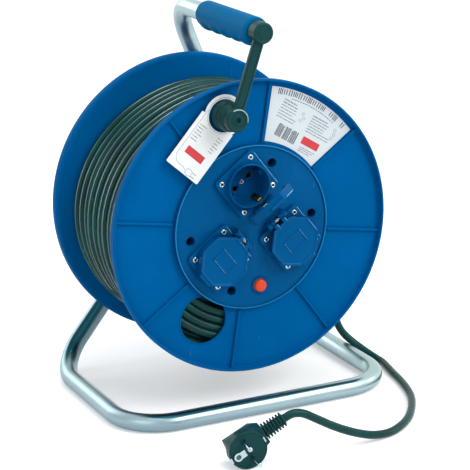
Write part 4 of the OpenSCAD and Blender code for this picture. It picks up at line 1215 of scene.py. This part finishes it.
class REEL_OT_panel(bpy.types.Operator):
    """Model the round socket panel with its screw wells and the reset button"""

    bl_idname = "reel.panel"
    bl_label = "Socket Panel"

    def execute(self, context):
        disc = turned(
            "panel_disc",
            ((0, -4), (81.5, -4), (81.5, 0.9), (81.0, 1.5), (80.3, 1.6), (79.6, 1.4), (79.1, 0.8), (78.9, 0),
             (0, 0)), 160,
        )
        for around, _ in SOCKET_TURNS:
            cut(disc, rod("socket_hole", 21.5, -20, 10, polar(SOCKET_R, around), steps=96))
        well = joined(
            "well",
            turned(
                "well",
                ((4.5, -76.5), (6.2, -76.5), (6.2, -3.5), (5.1, -0.5), (5.1, 0.25), (4.9, 0.4), (4.5, 0.1)),
                48, hollow=True,
            ),
            turned(
                "well_floor",
                ((0, -76.5), (4.7, -76.5), (4.7, -65.05), (2.2, -65.05), (2.2, -70), (0, -70)), 32,
            ),
        )
        wells = []
        for around in SCREW_TURNS:
            at = polar(SCREW_R, around)
            cut(disc, rod("well_hole", 4.7, -20, 10, at, steps=48))
            wells.append(copied(well, "well_copy", shift(*at)))
        bpy.data.objects.remove(well)
        at = polar(BUTTON_R, BUTTON_TURN)
        cut(disc, rod("button_hole", 6.75, -20, 10, at, steps=48))
        bezel = turned(
            "bezel", ((6.7, -4), (6.7, 1.2), (7.1, 1.6), (8.3, 1.6), (8.8, 1.1), (9.2, 0), (9.2, -4)),
            64, hollow=True,
        )
        settle(bezel, shift(*at))
        spigot = turned("spigot", ((74.7, -12), (76.6, -12), (76.6, -3.5), (74.7, -3.5)), 128, hollow=True)
        disc = joined("panel_disc", disc, bezel, spigot, *wells)
        wear(settle(disc, PANEL), "drum", "panel", "blue_plastic", "socket_panel")
        # painted highlight on the panel's lip and upper right edges
        give_painted_highlight(disc, "rim", panel_edge)
        button = turned(
            "button_cap",
            ((0, 5.2), (2.4, 5.1), (4.4, 4.6), (5.8, 3.6), (6.35, 2.2), (6.5, 0.6), (6.5, -4.4), (7.4, -4.4),
             (7.4, -6), (2.6, -6), (2.6, -13), (0, -13)), 64, 0.15,
        )
        wear(settle(button, BUTTON), "button", "red", "red_plastic", "reset_button")
        coat("steel", "drum_screws")
        return {"FINISHED"}


class REEL_OT_sockets(bpy.types.Operator):
    """Model the three sockets with their rivets, and the hinged lids"""

    bl_idname = "reel.sockets"
    bl_label = "Sockets and Lids"

    def execute(self, context):
        shell, rivet, screw, lid = self.shell(), self.rivet(), self.centre_screw(), self.lid()
        rivets = []
        for letter, place, rest in zip(LETTERS, SOCKETS, LID_REST):
            copy = copied(shell, "socket_shell_" + letter, place)
            wear(copy, "drum", "panel", "blue_plastic", "socket_" + letter)
            # painted highlight on the upper right edges of each socket and lid
            give_painted_highlight(copy, "edge", upper_right_edge)
            wear(copied(screw, "centre_screw_" + letter, place), "drum", "nickel", "nickel")
            hinge = place @ shift(0, HINGE_Y, HINGE_Z)
            cover = copied(lid, "cover_" + letter, hinge @ turn(rest, "X"))
            wear(cover, "lid_" + letter, "panel", "blue_plastic", "lid_" + letter)
            give_painted_highlight(cover, "edge", upper_right_edge)
            rivets += [copied(rivet, "rivet", place @ shift(*at)) for at in RIVETS]
            spring = run_along("closing_spring_" + letter, self.spring(hinge), SPRING_WIRE_R * MM)
            wear(spring, "drum", "steel", "steel", "lid_spring_" + letter)
            coat("brass", "contacts_" + letter)
            coat("steel", "hinge_pin_" + letter)
        for spare in (shell, rivet, screw, lid):
            bpy.data.objects.remove(spare)
        wear(joined("rivets", *rivets), "drum", "nickel", "nickel", "socket_rivets")
        return {"FINISHED"}

    def shell(self):
        base = plate("base", rounded_square(50, 4), 0, 3.5, 0.7, 3)
        cut(base, rod("bore", 20.4, -5, 10, steps=96))
        for at in RIVETS:
            cut(base, rod("rivet_hole", 1.62, -5, 10, at, steps=24))
        cup = turned(
            "cup",
            ((0, -8), (14, -8), (14.3, -8.5), (15, -8.5), (15.3, -8), (19.1, -8), (19.75, -7.2), (19.75, 8.3),
             (20.3, 9.3), (20.9, 9.5), (21.5, 9.2), (21.75, 8.6), (21.75, 1), (21.3, 0.6), (21.3, -30),
             (0, -30)), 96,
        )
        for x in (-9.5, 9.5):
            cut(cup, rod("pin_hole", 2.95, -24, 0, (x, 0), steps=32))
        for y in (-1, 1):
            cut(cup, block("earth_slot", (-3.1, y * 19.75 - 1.4, -10), (3.1, y * 19.75 + 1.4, 7.6), 0))
        cut(cup, rod("screw_well", 3.0, -12, 0, steps=32))
        parts = [block("leaf", (-11.8, -31.4, 0), (11.8, -23.6, 3.5), 0.6)]
        for low, high in ((-11.8, -7.3), (7.3, 11.8)):
            knuckle = rod("knuckle", 3.5, low, high, soft=0.4, steps=40, along="x")
            parts.append(settle(knuckle, shift(0, HINGE_Y, HINGE_Z)))
            parts.append(block("post", (low, -31.4, 1), (high, -24.6, 6.8), 0.3))
        # cheeks that guide a plug, on either side of the pins
        for low, high in ((-19.9, -15.9), (15.9, 19.9)):
            parts.append(block("cheek", (low, -2.6, -8.4), (high, 2.6, 4.5), 0.5))
        return joined("socket_shell", base, cup, *parts)

    def centre_screw(self):
        outline = ((0, -12.4), (2.8, -12.4), (2.8, -9.4), (2.2, -8.7), (0, -8.5))
        screw = turned("centre_screw", outline, 32, 0.15)
        return cut(screw, block("slot", (-3, -0.4, -9.5), (3, 0.4, -8), 0))

    def rivet(self):
        return turned(
            "rivet",
            ((1.05, -5.1), (1.05, 3.8), (1.25, 4.25), (1.75, 4.45), (2.35, 4.3), (2.75, 3.9), (2.8, 3.52),
             (1.55, 3.5), (1.55, -4.1), (2.2, -4.15), (2.2, -4.9), (1.9, -5.1)), 32, hollow=True,
        )

    def lid(self):
        """A lid seen from its hinge: the hinge pin along x, the socket towards y."""
        half, eighth = 24.5, 22.5
        outline = []
        for k in range(8):
            # each corner of the octagon is rounded off
            for bend in (-6, -2, 2, 6):
                reach = half / math.cos(math.radians(eighth - abs(bend)))
                outline.append(polar(reach - 0.1, eighth + 45 * k + bend))
        cap = plate("cap", outline, 4.7, 13, 0)
        edit(cap, "FACE")
        bpy.ops.mesh.select_all(action="DESELECT")
        done()
        for face in cap.data.polygons:
            face.select = face.normal.z > 0.9
        bpy.ops.object.mode_set(mode="EDIT")
        bpy.ops.mesh.inset(thickness=1.6 * MM, depth=0)
        bpy.ops.mesh.inset(thickness=1.2 * MM, depth=-0.7 * MM)
        done()
        softened(cap, 0.7, 3, angle=50)
        cut(cap, rod("cavity", 22.25, 0, 10, steps=96))
        tab = block("tab", (-8, 18, 10), (8, 27.4, 12), 0.7, 3)
        # a plain raised frame
        ribs = [block("edge", (-11, y - 0.6, 12), (11, y + 0.6, 12.8), 0.5, 3) for y in (-7, 7)]
        ribs += [block("edge", (x - 0.6, -7.6, 12), (x + 0.6, 7.6, 12.8), 0.5, 3) for x in (-10.4, 10.4)]
        arms = []
        for low, high in ((-7.0, -2.9), (2.9, 7.0)):
            knuckle = rod("knuckle", 3.45, low, high, soft=0.3, steps=40, along="x")
            arms.append(settle(knuckle, shift(0, HINGE_Y, HINGE_Z)))
            arms.append(block("arm", (low, -28, 8.6), (high, -21.5, 12.9), 0.4))
        # the skirt is open on the hinge side
        cut(cap, block("open_side", (-30, -24.9, 2), (30, -8, 10), 0))
        lid = joined("lid", cap, tab, *ribs, *arms)
        return settle(lid, shift(0, -HINGE_Y, -HINGE_Z))

    def spring(self, hinge):
        points = []
        for k in range(16 * 4 + 1):
            a = math.tau * k / 16 + math.radians(270)
            points.append(Vector((4.5 * (k / 64 - 0.5), 2.0 * math.cos(a), 2.0 * math.sin(a))))
        points += [points[-1] + Vector((0, 1.2 * k, 0)) for k in (1, 2, 3)]
        return [hinge @ (p * MM) for p in points]


# ---------------------------------------------------------------- knob, label and tag


class REEL_OT_knob(bpy.types.Operator):
    """Turn the winding knob and its spindle"""

    bl_idname = "reel.knob"
    bl_label = "Winding Knob"

    def execute(self, context):
        knob = turned(
            "hand_knob",
            ((4.2, 0), (13.8, 0), (14.5, 0.7), (14.5, 3.3), (13.9, 4), (12.6, 5), (11.8, 6.8), (11.7, 8.8),
             (12.2, 10.3), (13.2, 11.5), (13.8, 12.9), (13.6, 14.5), (12.8, 16.7), (11.7, 18.5), (10.8, 19.4),
             (10.2, 19.7), (7.9, 19.7), (7.2, 19.1), (7.2, 15.2), (4.2, 15.2)), 96, hollow=True,
        )
        flute = block("flute", (13.7, -0.55, 0.5), (14.75, 0.55, 3.7), 0.4, 2)
        flutes = [copied(flute, "flute_%d" % k, turn(15 * k)) for k in range(1, 24)]
        knob = joined("hand_knob", knob, flute, *flutes)
        wear(settle(knob, KNOB), "knob", "black", "black_plastic", "winding_knob")
        coat("steel", "knob_spindle")
        return {"FINISHED"}


def strokes(path, width):
    """Bars that follow a line."""
    bars = []
    for (x0, y0), (x1, y1) in zip(path, path[1:]):
        reach = math.hypot(x1 - x0, y1 - y0) + width * 0.5
        bars.append(((x0 + x1) / 2, (y0 + y1) / 2, reach, width, math.degrees(math.atan2(y1 - y0, x1 - x0))))
    return bars


def greeked(start, length, slant, height, seed):
    """A row of short dashes in place of words."""
    bars, along, k = [], 0.0, seed
    while along < length - 0.8:
        dash = min(1.4 + 1.1 * (k * 7 % 4), length - along)
        middle = along + dash / 2
        x = start[0] + middle * math.cos(math.radians(slant))
        y = start[1] + middle * math.sin(math.radians(slant))
        bars.append((x, y, dash, height, slant))
        along, k = along + dash + 0.55, k + 1
    return bars


def printed(name, bars, thick, level):
    """Bars of ink on a flat piece: each has a centre, a length, a height and a slant in degrees."""
    marks = []
    for x, y, length, height, slant in bars:
        mark = block("mark", (-length / 2, -height / 2, level), (length / 2, height / 2, level + thick), 0)
        marks.append(settle(mark, shift(x, y, 0) @ turn(slant)))
    return joined(name, *marks)


class REEL_OT_papers(bpy.types.Operator):
    """Cut the hang tag and the sector label, with plain bars in place of words"""

    bl_idname = "reel.papers"
    bl_label = "Tag and Label"

    def execute(self, context):
        self.tag()
        self.label()
        return {"FINISHED"}

    def print_on(self, place, body, level, thick, *groups):
        for name, ink, bars in groups:
            wear(settle(printed(name, bars, thick, level), place), body, ink, "card")

    def tag(self):
        place = DRUM @ shift(*KNOB_XY, 80.3) @ turn(228) @ shift(1.2, 0)
        outline = arc(20.5, 64, 296, 48) + [
            (9, -21), (9.6, -21.5), (66.2, -21.5), (67, -20.7), (67, 18.9), (66.2, 19.6), (9.6, 19.6),
            (9, 19.1),
        ]
        thick = 0.7
        card = plate("tag_card", outline, 0, thick, 0.15, 1)
        cut(card, rod("tag_hole", 16.0, -2, 3, steps=96))
        wear(settle(card, place), "tag", "card", "card", "hang_tag")
        field = [(46, -0.9, 7.6, 22, 0)]
        self.print_on(place, "tag", thick, 0.05, ("tag_print", "faint_ink", self.drawing()),
                      ("tag_field", "red_ink", field))

    def drawing(self):
        """A ring round the hole, a cord that runs from it to a plug, and rows of dashes on either side."""
        line = [(5, -17.4)] + [(x, -17.4) for x in range(14, 54, 8)]
        line += [(53 + x, y - 8.9) for x, y in arc(8.5, -90, 0, 6)]
        line += [(61.5, -3), (63, 0)]
        plug = [(60.4, 1.2), (65, 1.2), (66, 4.5), (65, 8.2), (60.4, 8.2), (59.4, 4.5), (60.4, 1.2)]
        bars = strokes(arc(17.3, 0, 360, 48), 0.3) + strokes(line, 0.35) + strokes(plug, 0.35)
        bars += [(x, 11, 0.6, 4.6, 0) for x in (60.9, 64.6)]
        for row in range(6):
            bars += greeked((20 + 3.1 * row, -15.6), 8.5 - (row * 5) % 3, 90, 0.75, row)
            bars += greeked((20 + 3.1 * row, 8.2), 6.5 - (row * 7) % 3, 90, 0.75, row + 3)
        return bars

    def label(self):
        top = FACE_Z + 0.18
        film = plate("sector_label", arc(137.7, 44.6, 86.9, 48) + arc(84.2, 86.2, 45.1, 30), FACE_Z, top)
        wear(settle(film, TURNED), "drum", "film", "card")
        field = [(16.8, 97.4, 20.5, 7.6, 0)]
        self.print_on(TURNED @ turn(LABEL_TURN - 90), "drum", top, 0.04,
                      ("label_print", "ink", self.heading() + self.stripes()),
                      ("label_rows", "faint_ink", self.rows()), ("label_field", "red_ink", field))

    def heading(self):
        """Thin upright marks in three groups along the outer edge."""
        bars = []
        for k in range(15):
            if k in (10, 13):
                continue
            for side in (-0.55, 0.55) if k % 3 else (-0.8, 0, 0.8):
                lean = 17.0 - 2.42 * k + side
                bars.append((*polar(133.8, 90 + lean), 0.95, 5.8 - k % 2, lean))
        return bars

    def rows(self):
        """A line of dashes under the heading, two columns of rows and small marks beside them."""
        bars = []
        for k in range(17):
            lean = 10.5 - 1.42 * k
            bars.append((*polar(128.9, 90 + lean), 2.2 + k % 3 * 0.4, 0.8, lean))
        for row in range(7):
            first, second = (16.5 + (row * 5) % 4, 18.5 + (row * 3) % 4) if row < 5 else (22, 28)
            bars += greeked((-31.2, 123.6 - 2.9 * row), first, 0, 1.1 if row < 2 else 0.8, row)
            bars += greeked((5.2, 122.6 - 2.7 * row), second, 0, 1.1 if row < 1 else 0.8, row + 4)
        for x, y in ((-5.4, 119.4), (-2.6, 115.6), (-5.4, 112.4)):
            bars += strokes([(x + px, y + py) for px, py in arc(1.3, 0, 360, 10)], 0.35)
        for x, y in ((34.6, 120.5), (35.6, 116), (34.6, 111.8)):
            bars += strokes([(x + px, y + py) for px, py in (*rounded_square(2.6, 0.4, 1), (1.3, 0.9))], 0.4)
        for row in range(3):
            bars += greeked((7.4, 90.4 - 1.9 * row), 19 - 2 * row, 0, 0.7, row)
        return bars

    def stripes(self):
        """A block of upright stripes in three groups."""
        bars, x = [], -24.0
        for k in range(22):
            wide = (0.45, 0.8, 0.55, 1.0)[k * 7 % 4]
            if k not in (7, 14):
                bars.append((x + wide / 2, 94.6 + (0.5 if k % 5 else 0), wide, 12.6 - (k % 5 == 0), 0))
            x += wide + 0.42
        return bars


class REEL_OT_inside(bpy.types.Operator):
    """Finish what sits inside the core tube, and draw its wires"""

    bl_idname = "reel.inside"
    bl_label = "Inside"

    def execute(self, context):
        coat("ivory", "terminal_block")
        coat("steel", "cord_clamp")
        coat("cable", "inner_lead")
        coat("black", "cutout_body")
        for (around, _), row, colour in zip(SOCKET_TURNS, (-7, 7, 0), ("brown", "blue", "yellow")):
            self.wire(around + PANEL_TURN, row, colour)
        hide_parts("core_wires")
        return {"FINISHED"}

    def wire(self, around, row, colour):
        """A core wire in a soft curve from its row on the terminal block to the back of a socket."""
        start = Vector((*polar(BLOCK_R, BLOCK_TURN), BLOCK_Z)) + row * Vector((*polar(1, BLOCK_TURN + 90), 0))
        tip = Vector((*polar(SOCKET_R, around), 47))
        low = Vector((tip.x * 0.25 + start.x * 0.75, tip.y * 0.25 + start.y, 2))
        high = Vector((tip.x * 0.8 - 6, tip.y * 0.8, 22))
        knots = [start, start + Vector((0, 0, 16)), low, high, tip]
        points = []
        for k in range(len(knots) - 1):
            a, b = knots[max(k - 1, 0)], knots[k]
            c, d = knots[k + 1], knots[min(k + 2, len(knots) - 1)]
            for step in range(8):
                t = step / 8
                points.append(0.5 * (2 * b + (c - a) * t + (2 * a - 5 * b + 4 * c - d) * t * t
                                     + (3 * b - a - 3 * c + d) * t * t * t))
        points.append(tip)
        piece = run_along("core_wire_" + colour, [TURNED @ (p * MM) for p in points], WIRE_R * MM)
        return wear(piece, "drum", colour, "wire_insulation")


class VIEW3D_PT_reel(bpy.types.Panel):
    """Lists the steps that make the reel"""

    bl_label = "Cord Reel"
    bl_space_type = "VIEW_3D"
    bl_region_type = "UI"
    bl_category = "Cord Reel"

    def draw(self, context):
        for group in (context.scene.reel_sizes, context.scene.reel_colours):
            box = self.layout.box()
            for name in group.__annotations__:
                box.prop(group, name)
        for step in STEPS:
            self.layout.operator(step.bl_idname)


STEPS = (
    REEL_OT_finishes, REEL_OT_stage, REEL_OT_plug, REEL_OT_free_cord, REEL_OT_tube_frame,
    REEL_OT_handle, REEL_OT_flanges, REEL_OT_winding, REEL_OT_panel, REEL_OT_sockets, REEL_OT_knob,
    REEL_OT_papers, REEL_OT_inside,
)
CLASSES = (ReelSizes, ReelColours, *STEPS, VIEW3D_PT_reel)


def register():
    for part in CLASSES:
        bpy.utils.register_class(part)
    bpy.types.Scene.reel_sizes = bpy.props.PointerProperty(type=ReelSizes)
    bpy.types.Scene.reel_colours = bpy.props.PointerProperty(type=ReelColours)


def unregister():
    del bpy.types.Scene.reel_colours
    del bpy.types.Scene.reel_sizes
    for part in reversed(CLASSES):
        bpy.utils.unregister_class(part)


def main():
    register()
    for step in STEPS:
        getattr(bpy.ops.reel, step.bl_idname.split(".")[1])()


if __name__ == "__main__":
    main()
